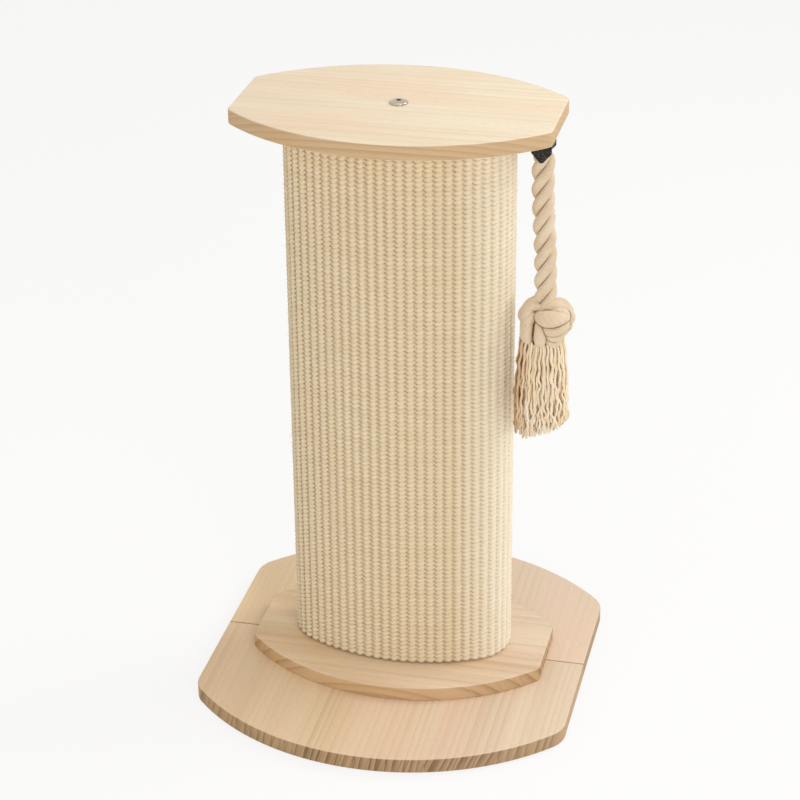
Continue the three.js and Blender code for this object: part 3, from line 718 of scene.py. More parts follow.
def rope_route(count):
    """The rope's centre line, from its top over the pin down into the knot."""
    top = np.array([HANGER_X, HANGER_Y, PIN_Z])
    lean = np.array([ROPE_LEAN, 0, 0])
    down = np.array([0, 0, -1.0])
    fall = ROPE_LENGTH - (ROPE_TOP - PIN_Z)
    corners = [down * SHOULDER_DROP, down * fall / 2, lean + down * fall / 2, lean + down * fall]
    share = np.linspace(0, 1, count)[:, None]
    weights = [(1 - share) ** 3, 3 * share * (1 - share) ** 2, 3 * share**2 * (1 - share), share**3]
    hanging = top + sum(weight * corner for weight, corner in zip(weights, corners))
    crown = np.linspace(ROPE_TOP, PIN_Z - SHOULDER_DROP, 12, endpoint=False)
    straight = np.stack([np.full(12, HANGER_X), np.full(12, HANGER_Y), crown], axis=1)
    buried = hanging[-1] + down * np.linspace(0, ROPE_IN_KNOT, 13)[1:, None]
    return np.concatenate([straight, hanging, buried])


def laid_strands(route):
    """Three strands that wind round a route as a right-hand laid rope does."""
    fullness = np.interp(ROPE_TOP - route[:, 2], CROWN_DROP, CROWN_SHARE)
    radius = ROPE_DIAMETER / 2
    strand = radius / (1 + 2 / math.sqrt(3))
    out, across = square_to(route)
    gone = gone_along(route)
    tubes = []
    for k in range(3):
        angle = (2 * np.pi * (gone / ROPE_LAY + k / 3))[:, None]
        reach = ((radius - strand) * fullness)[:, None]
        centre = route + reach * (np.cos(angle) * out + np.sin(angle) * across)
        half = strand * fullness
        points, faces, along, around = sweep(centre, square_to(centre), half, half)
        turns = np.tile(np.arange(STRAND_SIDES) / STRAND_SIDES, len(centre))
        turns = turns + np.repeat(gone, STRAND_SIDES) * YARN_TWIST
        wave = 1 - YARN_RELIEF * np.abs(np.sin(np.pi * YARNS_ROUND * turns))
        middle = np.repeat(centre, STRAND_SIDES, axis=0)
        tubes.append((middle + (points - middle) * wave[:, None], faces, along, around))
    return tubes


route = rope_route(110)
rope_tubes = laid_strands(route)
rope_piece = joined("rope_strands", rope_tubes, rope_cotton, creases(rope_tubes, ROPE_CREASE))
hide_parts("rope")
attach(rope_piece, ROPE_BODY)

# ---------------------------------------------------------------- knot

KNOT_SHIFT = 0.0015  # the knot's middle, out from the rope's line
KNOT_MIDDLE = np.array([HANGER_X + ROPE_LEAN + KNOT_SHIFT, HANGER_Y, KNOT_TOP - KNOT_HEIGHT / 2])
# The view in which the runs of its strands are given.
KNOT_VIEW_TURN, KNOT_VIEW_RISE = math.radians(14.5), math.radians(26.7)
STRAND_HALF = 0.0054


def ball_point(across, up, lift):
    """A point on the knot's ball, or lifted off it, from its place across and up in that view."""
    turn, rise = KNOT_VIEW_TURN, KNOT_VIEW_RISE
    level = math.cos(rise)
    toward = np.array([math.sin(turn) * level, -math.cos(turn) * level, math.sin(rise)])
    right = np.array([math.cos(turn), math.sin(turn), 0.0])
    above = np.cross(toward, right)
    reach = KNOT_DIAMETER / 2 - STRAND_HALF
    shrink = min(1.0, reach / math.hypot(across, up))
    across, up = across * shrink, up * shrink
    depth = math.sqrt(max(reach**2 - across**2 - up**2, 0.0))
    point = right * across + above * up + toward * depth
    length = np.linalg.norm(point)
    return point / length * (length + lift)


def smooth_path(points, count):
    """A curve through the points, evenly spaced along it."""
    points = np.asarray(points, float)
    ghost = np.concatenate([[2 * points[0] - points[1]], points, [2 * points[-1] - points[-2]]])
    curve = []
    for a, b, c, d in zip(ghost, ghost[1:], ghost[2:], ghost[3:]):
        for share in np.linspace(0, 1, 16, endpoint=False):
            bend = 2 * b + (c - a) * share + (2 * a - 5 * b + 4 * c - d) * share**2
            curve.append((bend + (3 * b - a - 3 * c + d) * share**3) / 2)
    curve = np.array([*curve, points[-1]])
    gone = gone_along(curve)
    even = np.linspace(0, gone[-1], count)
    return np.stack([np.interp(even, gone, column) for column in curve.T], axis=1)


def knot_band(places, turn):
    """One strand as it shows on the knot: (across, up, lift, half width) places in mm."""
    points = []
    for x, z, lift, half in places:
        points.append([*ball_point(x / 1000, z / 1000, lift / 1000), half / 1000])
    run = smooth_path(points, 80)
    path, half_width = run[:, :3], run[:, 3]
    tangents = unit(np.gradient(path, axis=0))
    across = unit(np.cross(tangents, unit(path)))
    out = np.cross(across, tangents)
    half_height = np.minimum(STRAND_HALF, 0.75 * half_width + 0.0012)
    points, faces, along, around = sweep(path, (out, across), half_width, half_height, 0.86)
    spin = np.array(Matrix.Rotation(turn, 3, "Z"))
    return points @ spin.T + KNOT_MIDDLE, faces, along, around


# Each strand's run over one side of the knot, as (across, up, lift, half width) in mm.
KNOT_RUNS = {
    "upper right": [
        (-7, 15, -8, 1.8), (-3, 16.5, -3, 3.2), (2, 17.5, 0, 5.2), (9.5, 18, 1.5, 7.2),
        (16, 16.5, 2, 7.8), (21, 14, 1, 7.4), (24, 11.5, -2, 5.6), (25, 10, -8, 3),
    ],
    "middle": [
        (-12, 11, -7, 2.4), (-8.5, 7, -1, 5.6), (-4, 4.3, 2, 8.1), (1.7, 3.4, 3, 8.6),
        (8, 3.8, 3, 7.4), (14, 4.7, 2, 5.4), (19, 5.2, 0, 3.2), (24, 5, -6, 1.2),
    ],
    "lower right": [
        (-9, -1, -8, 1.8), (-4, -5.5, -2, 3.9), (0.6, -8, 0, 4.6), (6, -8.3, 0, 4.7),
        (11, -6.6, 0, 4.7), (17, -3.7, -1, 4.2), (21, -0.2, -3, 3.2), (25, 3, -8, 1.2),
    ],
    "lowest right": [
        (-4, -10, -9, 1.8), (0.5, -14, -3, 3.2), (6, -15.5, -2, 4.0), (11, -14.5, -2, 4.2),
        (16, -11.5, -3, 3.8), (21, -7, -5, 3.0), (25, -2, -9, 1.4),
    ],
    "upper left": [
        (-6, 18, -8, 2.4), (-11, 17, 0, 4.6), (-16, 15.5, 1.5, 5.0),
        (-21, 12.5, 1.5, 4.8), (-25, 8, 0.5, 4.0), (-27, 2, -6, 2),
    ],
    "shoulder left": [
        (-2, 26, -9, 2.4), (-8, 25, -3, 4.6), (-15, 22.5, -1, 5.2),
        (-22, 18, -1, 4.8), (-26, 12.5, -3, 3.6), (-28, 7, -9, 1.6),
    ],
    "left fall": [
        (-12, 11, -9, 3.0), (-16, 7.5, -3, 4.6), (-19, 2, 0.5, 6.0), (-19.5, -5, 2, 6.8),
        (-19.5, -12, 1.5, 6.2), (-18, -18, -3, 4.2), (-16, -22, -9, 1.6),
    ],
    "middle fall": [
        (-11.5, 3, -6, 1.2), (-10, -2, 0, 2.8), (-8.6, -7, 2, 4.6),
        (-7.8, -13, 2, 5.9), (-7.5, -18.6, 0, 5.2), (-7, -23.4, -6, 2.6),
    ],
    "lower fall": [
        (-2, -16, -9, 2.4), (2, -19.5, -3, 4.0), (6, -21, -2, 4.6),
        (11, -20.5, -3, 4.4), (16, -18, -6, 3.4), (20, -14, -10, 1.8),
    ],
    "far left fall": [
        (-28, 10, -8, 1.6), (-28, 4, -3, 3.0), (-28, -3, -2, 3.8),
        (-27, -10, -3, 3.6), (-24, -17, -6, 2.6), (-20, -21, -10, 1.2),
    ],
}

knot_tubes, knot_creases = [], []
for half_turn in (0.0, math.pi):
    side_tubes = [knot_band(places, half_turn) for places in KNOT_RUNS.values()]
    knot_creases.append(creases(side_tubes, KNOT_CREASE))
    knot_tubes += side_tubes
knot_piece = joined("knot_strands", knot_tubes, rope_cotton, np.concatenate(knot_creases))
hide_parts("knot")
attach(knot_piece, ROPE_BODY)

# The strands inside the knot, as one plump body that closes the creases between the outer ones.
HEART_RADIUS, HEART_BOTTOM, HEART_HEIGHT, HEART_STEPS = 0.0200, -0.026, 0.050, 12
heart_profile = [(0, HEART_BOTTOM)]
for i in range(1, HEART_STEPS):
    share = i / HEART_STEPS
    plump = HEART_RADIUS * math.sin(math.pi * share) ** 0.5
    heart_profile.append((plump, HEART_BOTTOM + HEART_HEIGHT * share))
heart_profile.append((0, HEART_BOTTOM + HEART_HEIGHT))
knot_heart = turned("knot_heart", heart_profile, rope_cotton, place=KNOT_MIDDLE)
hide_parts("knot")
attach(knot_heart, ROPE_BODY)

# ---------------------------------------------------------------- repeating pieces by Geometry Nodes


class Maker:
    """A Geometry Nodes tree with named inputs, put on a piece and settled into its mesh."""

    def __init__(self, name, **inputs):
        """Each keyword becomes an input: first_row becomes First Row, with the piece's value."""
        self.tree = bpy.data.node_groups.new(name, "GeometryNodeTree")
        sockets = self.tree.interface
        sockets.new_socket("Geometry", in_out="INPUT", socket_type="NodeSocketGeometry")
        sockets.new_socket("Geometry", in_out="OUTPUT", socket_type="NodeSocketGeometry")
        kinds = {int: "NodeSocketInt", float: "NodeSocketFloat"}
        self.values = {}
        for key, value in inputs.items():
            kind = kinds.get(type(value), "NodeSocketMaterial")
            title = key.replace("_", " ").title()
            socket = sockets.new_socket(title, in_out="INPUT", socket_type=kind)
            self.values[socket.identifier] = value
        self.nodes = Nodes(self.tree)
        group = self.tree.nodes.new("NodeGroupInput")
        self.given = {socket.name: socket for socket in group.outputs if socket.name}

    def make(self, piece, geometry, material):
        """Ends the tree with this geometry in this material, and runs it on the piece."""
        n = self.nodes
        whole = n.add("GeometryNodeRealizeInstances", geometry)
        whole = n.add("GeometryNodeSetShadeSmooth", whole)
        whole = n.add("GeometryNodeSetMaterial", whole, None, material)
        output = self.tree.nodes.new("NodeGroupOutput")
        self.tree.links.new(whole, output.inputs[0])
        modifier = piece.modifiers.new(self.tree.name, "NODES")
        modifier.node_group = self.tree
        for identifier, value in self.values.items():
            modifier[identifier] = value
        return settle(piece)


def keep(n, geometry, name, value):
    """Stores a value at every point of a geometry, for its material."""
    return n.add("GeometryNodeStoreNamedAttribute", geometry, None, name, value)


# Loose fibres: how many to the square metre, how long, how thick, and the seed that places them.
SISAL_FUZZ = (8000.0, 0.0065, 0.00022)
ROPE_FUZZ, KNOT_FUZZ = (50000.0, 0.0030, 0.00013, 21), (30000.0, 0.0030, 0.00013, 22)
TASSEL_FUZZ = (38000.0, 0.0034, 0.00015, 23)


def stray_fibres(name, source, material, density, length, thickness, seed):
    """Short bowed fibres that stand off a piece: density of them to the square metre."""
    maker = Maker(name, density=density, length=length, thickness=thickness, seed=seed, fibre=material)
    given, n = maker.given, maker.nodes
    spread = n.add(
        "GeometryNodeDistributePointsOnFaces", given["Geometry"], None, given["Density"], given["Seed"]
    )
    facing = spread.node.outputs["Rotation"]
    least, most = (-1.1, -1.1, 0.0), (1.1, 1.1, 2 * math.pi)
    lean = n.add("FunctionNodeRandomValue", least, most, None, 3, data_type="FLOAT_VECTOR")
    turned_by = n.add("FunctionNodeRotateRotation", facing, n.add("FunctionNodeEulerToRotation", lean))
    turned_by.node.rotation_space = "LOCAL"
    size = n.add("FunctionNodeRandomValue", 0.35, 1.0, None, 5, data_type="FLOAT")
    bow = n.vector(n.times(given["Length"], 0.22), 0.0, n.times(given["Length"], 0.55))
    tip = n.vector(n.times(given["Length"], -0.08), 0.0, given["Length"])
    fibre = n.add("GeometryNodeCurveQuadraticBezier", 4, (0, 0, 0), bow, tip)
    ring = n.add("GeometryNodeCurvePrimitiveCircle", 3, n.times(given["Thickness"], 0.5))
    thin = n.fit(n.add("GeometryNodeSplineParameter", out="Factor"), 0.0, 1.0, 1.0, 0.4)
    fibre = n.add("GeometryNodeCurveToMesh", fibre, ring, thin, True)
    fibres = n.add("GeometryNodeInstanceOnPoints", spread, None, fibre, None, None, turned_by, size)
    return maker.make(link(name, source.data.copy()), fibres, given["Fibre"])


# ---------------------------------------------------------------- woven cover

YARN_HALF_HEIGHT, YARN_HALF_DEPTH, YARN_SIDES = 0.0034, 0.0018, 6
ROW_HALF_HEIGHT = 0.866 * YARN_HALF_HEIGHT  # a yarn's six sides have flats above and below
SEAM_OPENING, FIRST_ROW_RISE = 0.0006, 0.0012
# The rows of each piece of the weave: the first of them, and how many.
WEAVE_PARTS = {"weave_lower": (0, 40), "weave_middle": (40, 40), "weave_upper": (80, 39)}
BACK_OUTER, BACK_INNER = 0.0031, 0.0040  # the mat's back, in from the outside of the weave


def column_outline(inset, count=400):
    """Points round the column from the middle of its back, leaving a fine gap at the seam."""
    half_width, half_depth = COLUMN_WIDTH / 2, COLUMN_DEPTH / 2
    end = COLUMN_END_RADIUS
    end_centre = half_width - end
    arc = (half_depth**2 + end_centre**2 - end**2) / (2 * (half_depth - end))
    sweep_angle = math.asin(end_centre / (arc - end))
    broad, narrow = (arc - inset) * sweep_angle, (end - inset) * (math.pi / 2 - sweep_angle)
    quarter = broad + narrow
    points = []
    for gone in np.linspace(SEAM_OPENING / 2, 4 * quarter - SEAM_OPENING / 2, count):
        number, along = int(gone // quarter) % 4, gone % quarter
        along = along if number % 2 == 0 else quarter - along
        if along < broad:
            angle = along / (arc - inset)
            x = (arc - inset) * math.sin(angle)
            y = (arc - inset) * math.cos(angle) - (arc - half_depth)
        else:
            angle = sweep_angle + (along - broad) / (end - inset)
            x = end_centre + (end - inset) * math.sin(angle)
            y = (end - inset) * math.cos(angle)
        points.append((-x if number < 2 else x, -y if number in (1, 2) else y))
    return points


RIB_PITCH = length_of(column_outline(0.0)) / RIBS
ROW_PITCH = (COVER_TOP - COVER_BOTTOM - FIRST_ROW_RISE - 2 * ROW_HALF_HEIGHT) / (ROWS - 1)


def woven_rows(name, first_row, rows):
    """Rows of sisal yarn round the column: each swells over every rib and dips between two ribs."""
    maker = Maker(
        name,
        ribs=RIBS,
        samples=6,
        rows=rows,
        first_row=COVER_BOTTOM + FIRST_ROW_RISE + ROW_HALF_HEIGHT + first_row * ROW_PITCH,
        row_pitch=ROW_PITCH,
        yarn_half_height=YARN_HALF_HEIGHT,
        yarn_half_depth=YARN_HALF_DEPTH,
        dip=0.0018,
        neck=0.42,
        slant=0.0008,
        unevenness=0.0009,
        yarn=sisal_yarn,
    )
    given, n = maker.given, maker.nodes
    count = n.plus(n.times(given["Ribs"], given["Samples"]), 1.0)
    curve = n.add("GeometryNodeResampleCurve", given["Geometry"], None, count)
    index = n.add("GeometryNodeInputIndex")
    share = n.math("DIVIDE", index, given["Samples"])
    angle = n.times(share, 2 * math.pi)
    dip = n.math("POWER", n.fit(n.math("COSINE", angle), -1.0, 1.0), 1.4)
    tangent = n.add("GeometryNodeInputTangent")
    out = n.add("ShaderNodeVectorMath", tangent, (0, 0, 1), operation="CROSS_PRODUCT")
    inward = n.times(n.times(dip, given["Dip"]), -1.0)
    sunk = n.grown(out, inward)
    saw = n.plus(n.math("SINE", angle), n.times(n.math("SINE", n.times(angle, 2.0)), 0.5))
    raised = n.vector(0.0, 0.0, n.times(saw, n.times(given["Slant"], -1.0)))
    offset = n.add("ShaderNodeVectorMath", sunk, raised, operation="ADD")
    curve = keep(n, curve, "dip", dip)
    curve = keep(n, curve, "along", n.times(share, RIB_PITCH))
    curve = n.add("GeometryNodeSetPosition", curve, None, None, offset)
    curve = n.add("GeometryNodeSetCurveNormal", curve, mode="Z_UP")
    ring = n.add("GeometryNodeCurvePrimitiveCircle", YARN_SIDES, given["Yarn Half Height"])
    flat = n.math("DIVIDE", given["Yarn Half Depth"], given["Yarn Half Height"])
    ring = n.add("GeometryNodeTransform", ring, named={"Scale": n.vector(flat, 1.0, 1.0)})
    # Half a turn on, so that around is 0.5 on the outward side and wraps at the back.
    around = n.math("DIVIDE", n.plus(index, YARN_SIDES / 2), float(YARN_SIDES))
    ring = keep(n, ring, "around", n.math("FRACT", around))
    neck = n.math("SUBTRACT", 1.0, n.times(dip, given["Neck"]))
    yarn = n.add("GeometryNodeCurveToMesh", curve, ring, neck, True)
    lowest = n.vector(0.0, 0.0, given["First Row"])
    line = n.add("GeometryNodeMeshLine", given["Rows"], lowest, n.vector(0.0, 0.0, given["Row Pitch"]))
    rows_made = n.add("GeometryNodeInstanceOnPoints", line, None, yarn)
    rows_made = n.add("GeometryNodeRealizeInstances", rows_made)
    position = n.add("GeometryNodeInputPosition")
    wander = n.add("ShaderNodeTexNoise", position, named={"Scale": 110.0, "Detail": 1.0}, out="Color")
    wander = n.add("ShaderNodeVectorMath", wander, (0.5, 0.5, 0.5), operation="SUBTRACT")
    wander = n.grown(wander, given["Unevenness"])
    rows_made = n.add("GeometryNodeSetPosition", rows_made, None, None, wander)
    return maker.make(outline_curve(name, YARN_HALF_DEPTH), rows_made, given["Yarn"])


def outline_curve(name, inset):
    """The column's outline as an open curve of straight steps."""
    curve = bpy.data.curves.new(name, "CURVE")
    curve.dimensions = "3D"
    points = column_outline(inset)
    spline = curve.splines.new("POLY")
    spline.points.add(len(points) - 1)
    for point, (x, y) in zip(spline.points, points):
        point.co = (x, y, 0.0, 1.0)
    return link(name, curve)


weave = [woven_rows(name, *rows) for name, rows in WEAVE_PARTS.items()]
weave_fuzz = [
    stray_fibres(piece.name + "_fuzz", piece, sisal_yarn, *SISAL_FUZZ, seed)
    for seed, piece in enumerate(weave, 11)
]
for piece in weave + weave_fuzz:
    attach(piece, "post")

# The mat's flat back: a thin shell round the core, from the seam to the seam.
back_outline = column_outline(BACK_OUTER) + column_outline(BACK_INNER)[::-1]
back_rings = []
for z in np.linspace(COVER_BOTTOM, COVER_TOP, 25):
    back_rings.append([(x, y, float(z)) for x, y in back_outline])
backing = stacked("sisal_mat", back_rings, sisal_back)
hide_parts("sisal_cover")
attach(backing, "post")

# ---------------------------------------------------------------- tassel


GOLDEN_ANGLE = math.pi * (3 - math.sqrt(5))  # from each root of a yarn to the next


def tassel_yarns(name):
    """Loose yarns below the knot: each starts in a spiral of roots, kinks, and spreads to its end."""
    maker = Maker(
        name,
        yarns=180,
        steps=42,
        length=TASSEL_LENGTH + TASSEL_IN_KNOT,
        root_spread=0.0220,
        root_rise=0.0140,
        end_spread=0.0055,
        kink=0.0028,
        yarn_radius=0.00135,
        seed=7,
        cotton=tassel_cotton,
    )
    given, n = maker.given, maker.nodes
    index = n.add("GeometryNodeInputIndex")
    roots = n.add("GeometryNodeMeshLine", given["Yarns"], (0, 0, 0), (0, 0, 0))
    rank = n.math("SQRT", n.math("DIVIDE", n.plus(index, 0.5), given["Yarns"]))
    turn = n.times(index, GOLDEN_ANGLE)
    side = n.vector(n.math("COSINE", turn), n.math("SINE", turn), 0.0)
    place = n.grown(side, n.times(rank, given["Root Spread"]))
    roots = n.add("GeometryNodeSetPosition", roots, None, place)
    roots = keep(n, roots, "rank", rank)
    roots = keep(n, roots, "yarn", n.plus(index, 0.0))
    line = n.add("GeometryNodeCurvePrimitiveLine", (0, 0, 0), (0, 0, -1))
    line = n.add("GeometryNodeResampleCurve", line, None, given["Steps"])
    yarns = n.add("GeometryNodeInstanceOnPoints", roots, None, line)
    yarns = n.add("GeometryNodeRealizeInstances", yarns)
    share = n.add("GeometryNodeSplineParameter", out="Factor")
    rank = n.add("GeometryNodeInputNamedAttribute", "rank")
    own = n.plus(n.times(n.add("GeometryNodeInputNamedAttribute", "yarn"), 3.7), given["Seed"])
    x, y, _ = n.parts(n.add("GeometryNodeInputPosition"))

    # The yarns at the left are the longest.
    chance = n.add("ShaderNodeTexNoise", n.vector(own, 5.0, 1.0), named={"Scale": 1.0})
    reach = n.plus(n.fit(chance, 0.3, 0.7, 0.89, 0.97), n.fit(x, -0.010, 0.004, 0.10, 0.0))
    fall = n.times(n.times(share, given["Length"]), reach)
    widening = n.math("DIVIDE", given["End Spread"], given["Root Spread"])
    open_out = n.plus(1.0, n.times(n.math("SINE", n.times(share, 1.9)), widening))
    place = n.vector(own, n.times(share, 4.6), 0.0)
    drift = n.add("ShaderNodeTexNoise", place, named={"Scale": 1.3, "Detail": 2.0}, out="Color")
    drift_x, drift_y, drift_z = n.parts(drift)
    grow = n.times(n.math("POWER", share, 0.6), n.times(given["Kink"], 4.6))
    crimp_rate = n.fit(drift_z, 0.3, 0.7, 300.0, 380.0)
    crimp = n.math("SINE", n.plus(n.times(fall, crimp_rate), n.times(own, 2.1)))
    crimp = n.times(crimp, n.times(given["Kink"], 0.16))
    kinked_x = n.plus(n.plus(n.times(x, open_out), n.times(n.plus(drift_x, -0.5), grow)), crimp)
    kinked_y = n.plus(n.plus(n.times(y, open_out), n.times(n.plus(drift_y, -0.5), grow)), crimp)
    risen = n.times(n.times(rank, rank), given["Root Rise"])
    yarns = keep(n, yarns, "along", fall)
    # Painted shade: the yarns nearest the column are marked to be browned, as in the shade it casts.
    leftward = n.plus(kinked_x, n.times(kinked_y, -0.3))
    yarns = keep(n, yarns, "column_shade", n.fit(leftward, -0.021, -0.003, 1.0, 0.0))
    kinked = n.vector(kinked_x, kinked_y, n.math("SUBTRACT", risen, fall))
    yarns = n.add("GeometryNodeSetPosition", yarns, None, kinked)
    ring = n.add("GeometryNodeCurvePrimitiveCircle", YARN_SIDES, given["Yarn Radius"])
    ring = keep(n, ring, "around", n.math("DIVIDE", index, float(YARN_SIDES)))
    thin = n.fit(share, 0.93, 1.0, 1.0, 0.4)
    mesh = n.add("GeometryNodeCurveToMesh", yarns, ring, thin, True)
    return maker.make(mesh_of(name, [(0, 0, 0)], []), mesh, given["Cotton"])


tassel_piece = tassel_yarns("tassel_yarns")
tassel_place = (HANGER_X + ROPE_LEAN + TASSEL_SHIFT, HANGER_Y, TASSEL_TOP + TASSEL_IN_KNOT)
tassel_piece.data.transform(Matrix.Translation(tassel_place))
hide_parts("tassel")
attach(tassel_piece, ROPE_BODY)

rope_fuzz = stray_fibres("rope_fuzz", rope_piece, rope_cotton, *ROPE_FUZZ)
knot_fuzz = stray_fibres("knot_fuzz", knot_piece, rope_cotton, *KNOT_FUZZ)
tassel_fuzz = stray_fibres("tassel_fuzz", tassel_piece, tassel_cotton, *TASSEL_FUZZ)
for fuzz in (rope_fuzz, knot_fuzz, tassel_fuzz):
    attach(fuzz, ROPE_BODY)

# ---------------------------------------------------------------- boards

base_pine_front = pine(
    "pine_base_front", BASE_WOOD, "Y", pith=(0.50, 0.05), start=(0.30, 0.0, 0.0),
    ring_pitch=0.0085, contrast=0.45, stave=0.07, streaks=0.25, pale=1.0,
)
base_pine_back = pine(
    "pine_base_back", BASE_WOOD, "Y", pith=(0.62, 0.05), start=(0.91, 0.02, 0.0),
    ring_pitch=0.0090, contrast=0.38, stave=0.07, streaks=0.25, pale=1.0,
)
riser_pine = pine(
    "pine_riser", RISER_WOOD, "X", pith=(0.36, 0.20), start=(0.52, 0.0, 0.0),
    ring_pitch=0.0110, contrast=0.5, stave=0.12, streaks=0.5, pale=0.9,
)
top_pine = pine(
    "pine_top", TOP_WOOD, "X", pith=(0.40, 0.16), start=(1.43, 0.0, 0.0),
    ring_pitch=0.0060, contrast=0.45, stave=0.12, streaks=0.22, pale=0.0,
)

base_front = half_board("base_front_pine", BASE, -1, BASE_BOTTOM, BASE_TOP, base_pine_front)
base_back = half_board("base_back_pine", BASE, 1, BASE_BOTTOM, BASE_TOP, base_pine_back)
riser = whole_board("riser_pine", RISER, BASE_TOP, RISER_TOP, riser_pine)
top = whole_board("top_pine", TOP, COLUMN_TOP, POST_TOP, top_pine)
base_boards = {"base_front_board": base_front, "base_back_board": base_back}
for node, piece in {**base_boards, "riser_board": riser, "top_board": top}.items():
    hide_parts(node)
    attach(piece, "post")

# The holes that hide the heads of the base bolts, cut from below the board.
recess = RECESS_DIAMETER / 2
drill = [(0, -CUT_PAST), (recess, -CUT_PAST), (recess, RECESS_DEPTH), (0, RECESS_DEPTH)]
for piece, y in ((base_front, -BASE_BOLT_Y), (base_back, BASE_BOLT_Y)):
    places = [(x, y, BASE_BOTTOM) for x in (-BASE_BOLT_X, BASE_BOLT_X)]
    carve(piece, [turned("drill", drill, sides=40, place=place) for place in places])

# ---------------------------------------------------------------- fittings


def bolt(name, node, size, place, material, turn=None):
    """A furniture bolt, head up: a shank, a low dome and a hexagon socket. Then it is turned."""
    turn = turn or Matrix()
    radius, head, height, end = size["diameter"] / 2, size["head"] / 2, size["height"], -size["length"]
    rim = height * BOLT_RIM_SHARE
    profile = [(0, end), (radius - SHANK_CHAMFER, end), (radius, end + SHANK_CHAMFER), (radius, 0)]
    profile += [(head - HEAD_EASE, 0), (head, HEAD_EASE)] + dome(head, rim, height - rim, 12)
    piece = turned(name, profile, material, 64, place, turn)
    corner, past = size["socket"] / math.sqrt(3), 0.01
    hexagon = [(0, 0), (corner, 0), (corner, past), (0, past)]
    floor = Vector(place) + turn @ Vector((0, 0, height - size["depth"]))
    carve(piece, [turned("socket", hexagon, None, 6, floor, turn)])
    smooth_up_to(piece.data, 30)
    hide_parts(node)
    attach(piece, "post")
    return piece


top_bolt = bolt("top_bolt_dome", "top_bolt", TOP_BOLT, (0, 0, POST_TOP), bright_steel)
head_down = Matrix.Rotation(math.pi, 4, "X")
for y, end in ((-BASE_BOLT_Y, "front"), (BASE_BOLT_Y, "back")):
    for x, hand in ((-BASE_BOLT_X, "left"), (BASE_BOLT_X, "right")):
        node = f"base_bolt_{end}_{hand}"
        place = (x, y, BASE_BOTTOM + RECESS_DEPTH)
        piece = bolt(node + "_head", node, BASE_BOLT, place, zinc_steel, head_down)

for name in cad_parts:
    if name.startswith("foot_pad"):
        low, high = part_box(name)
        middle = (low + high) / 2
        half = (high.x - low.x) / 2
        profile = [(0, 0), (half - PAD_EASE, 0), (half, PAD_EASE), (half, PAD_THICKNESS - PAD_EASE)]
        profile += [(half - PAD_TOP_EASE, PAD_THICKNESS), (0, PAD_THICKNESS)]
        piece = turned(name + "_felt", profile, gray_felt, 64, (middle.x, middle.y, 0.0))
        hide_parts(name)
        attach(piece, "post")

# The clevis keeps its solid's shape, with its edges eased.
clevis_piece = link("hanger_clevis_steel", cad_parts["hanger_clevis"].data.copy())
clevis_piece.data.materials.clear()
clevis_piece.data.materials.append(black_steel)
with editing(clevis_piece.data) as work:
    bmesh.ops.remove_doubles(work, verts=work.verts, dist=1e-6)
    bmesh.ops.dissolve_limit(work, angle_limit=math.radians(1), verts=work.verts, edges=work.edges)
bevel = clevis_piece.modifiers.new("ease", "BEVEL")
bevel.width = CLEVIS_EASE
bevel.segments = 3
bevel.limit_method = "ANGLE"
bevel.angle_limit = math.radians(40)
settle(clevis_piece)
smooth_up_to(clevis_piece.data, 30)
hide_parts("hanger_clevis")
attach(clevis_piece, "hanger")

# The pin lies across the clevis with a domed head at both ends.
half_pin = CLEVIS_HALF_WIDTH + PIN_FIT
pin_head = dome(PIN_HEAD_RADIUS, half_pin, PIN_HEAD_HEIGHT)
pin_profile = [(radius, -z) for radius, z in reversed(pin_head)]
pin_profile += [(PIN_RADIUS, -half_pin), (PIN_RADIUS, half_pin)] + pin_head
pin_place = (HANGER_X, HANGER_Y, PIN_Z)
lying = Matrix.Rotation(math.pi / 2, 4, "X")
pin_piece = turned("hanger_pin_steel", pin_profile, black_steel, 40, pin_place, lying)
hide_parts("hanger_pin")
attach(pin_piece, "hanger")

# ---------------------------------------------------------------- materials of the pieces that stay

# By a word in the names of the nodes.
STAYING = {
    "column_core": paperboard("kraft_tube"),
    "plug": pressed_wood("pressed_wood"),
    "dowel": beech("beech_dowel"),
    "insert": zinc_steel,
    "bottom_bolt": zinc_steel,
    "hanger_washer": zinc_steel,
    "hanger_screw": black_steel,
}
for name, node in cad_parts.items():
    for word, finish in STAYING.items():
        if word in name:
            for slot in node.material_slots:
                slot.material = finish

# ---------------------------------------------------------------- floor, light and background

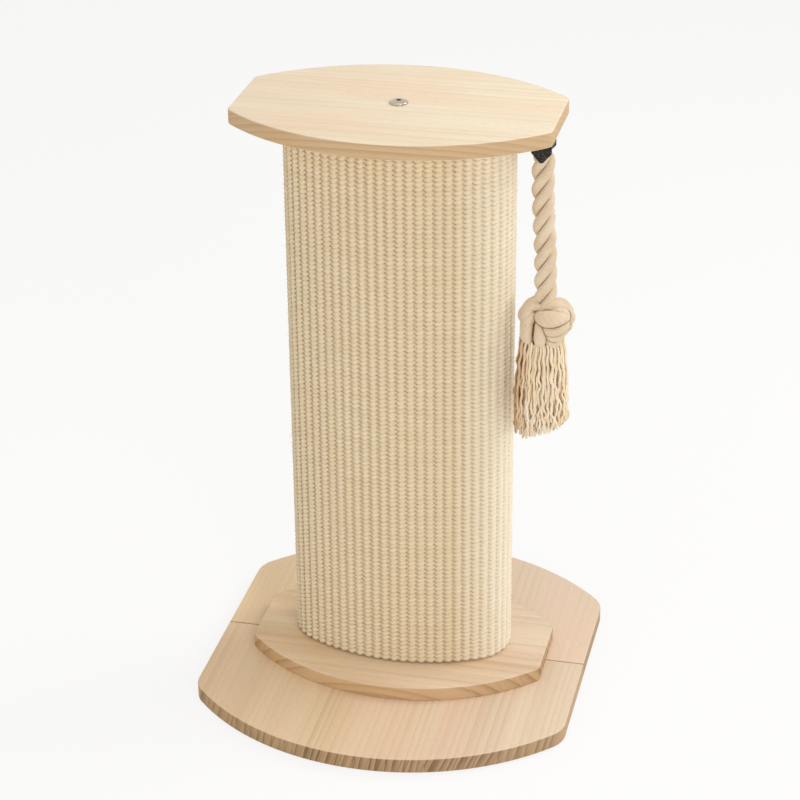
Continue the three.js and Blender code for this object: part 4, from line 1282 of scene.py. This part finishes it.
WHITE = (1.0, 1.0, 1.0, 1.0)
FLOOR_GLOW = 0.82  # share of the floor that shows plain white, the rest of it shows shadows
ROOM_LIGHT = 0.57


def looked_at(n):
    """1 for the camera, a mirror or glass that looks at a surface, 0 for light that falls on it."""
    rays = n.add("ShaderNodeLightPath").node.outputs
    seen = n.math("MAXIMUM", rays["Is Camera Ray"], rays["Is Glossy Ray"])
    return n.math("MAXIMUM", seen, rays["Is Transmission Ray"])


floor_material, n = new_material("floor")
matte = n.add("ShaderNodeBsdfDiffuse", paint("f6f4f0"))
glow = n.add("ShaderNodeEmission", WHITE, 1.0)
share = n.times(looked_at(n), FLOOR_GLOW)
n.add("ShaderNodeOutputMaterial", n.add("ShaderNodeMixShader", share, matte, glow))
floor = turned("floor", [(0, -0.02), (6.0, -0.02), (6.0, 0.0), (0, 0.0)], floor_material, 96)

world = bpy.data.worlds.new("studio")
bpy.context.scene.world = world
world.use_nodes = True
world.node_tree.nodes.clear()
n = Nodes(world.node_tree)
room = n.add("ShaderNodeBackground", (1.0, 0.99, 0.97, 1.0), ROOM_LIGHT)
white = n.add("ShaderNodeBackground", WHITE, 1.0)
n.add("ShaderNodeOutputWorld", n.add("ShaderNodeMixShader", looked_at(n), room, white))


def softbox(name, place, target, size, power, color=(1.0, 1.0, 1.0)):
    """A square lamp that looks at a target. Its size is in metres, its power in watts."""
    lamp = bpy.data.lights.new(name, "AREA")
    lamp.shape = "SQUARE"
    lamp.size = size
    lamp.energy = power
    lamp.color = color
    light = bpy.data.objects.new(name, lamp)
    bpy.context.scene.collection.objects.link(light)
    light.location = place
    light.rotation_euler = (Vector(target) - Vector(place)).to_track_quat("-Z", "Y").to_euler()


softbox("key", (1.45, 0.85, 2.0), (0, 0, 0.35), 1.1, 19.0, (1.0, 0.985, 0.96))
softbox("fill", (-1.5, -1.8, 1.1), (0, 0, 0.35), 1.6, 5.0)
softbox("side", (1.40, -2.15, 1.2), (0, 0, 0.38), 1.0, 18.5)
softbox("overhead", (0.1, -0.1, 2.4), (0, 0, 0.3), 1.3, 4.0)
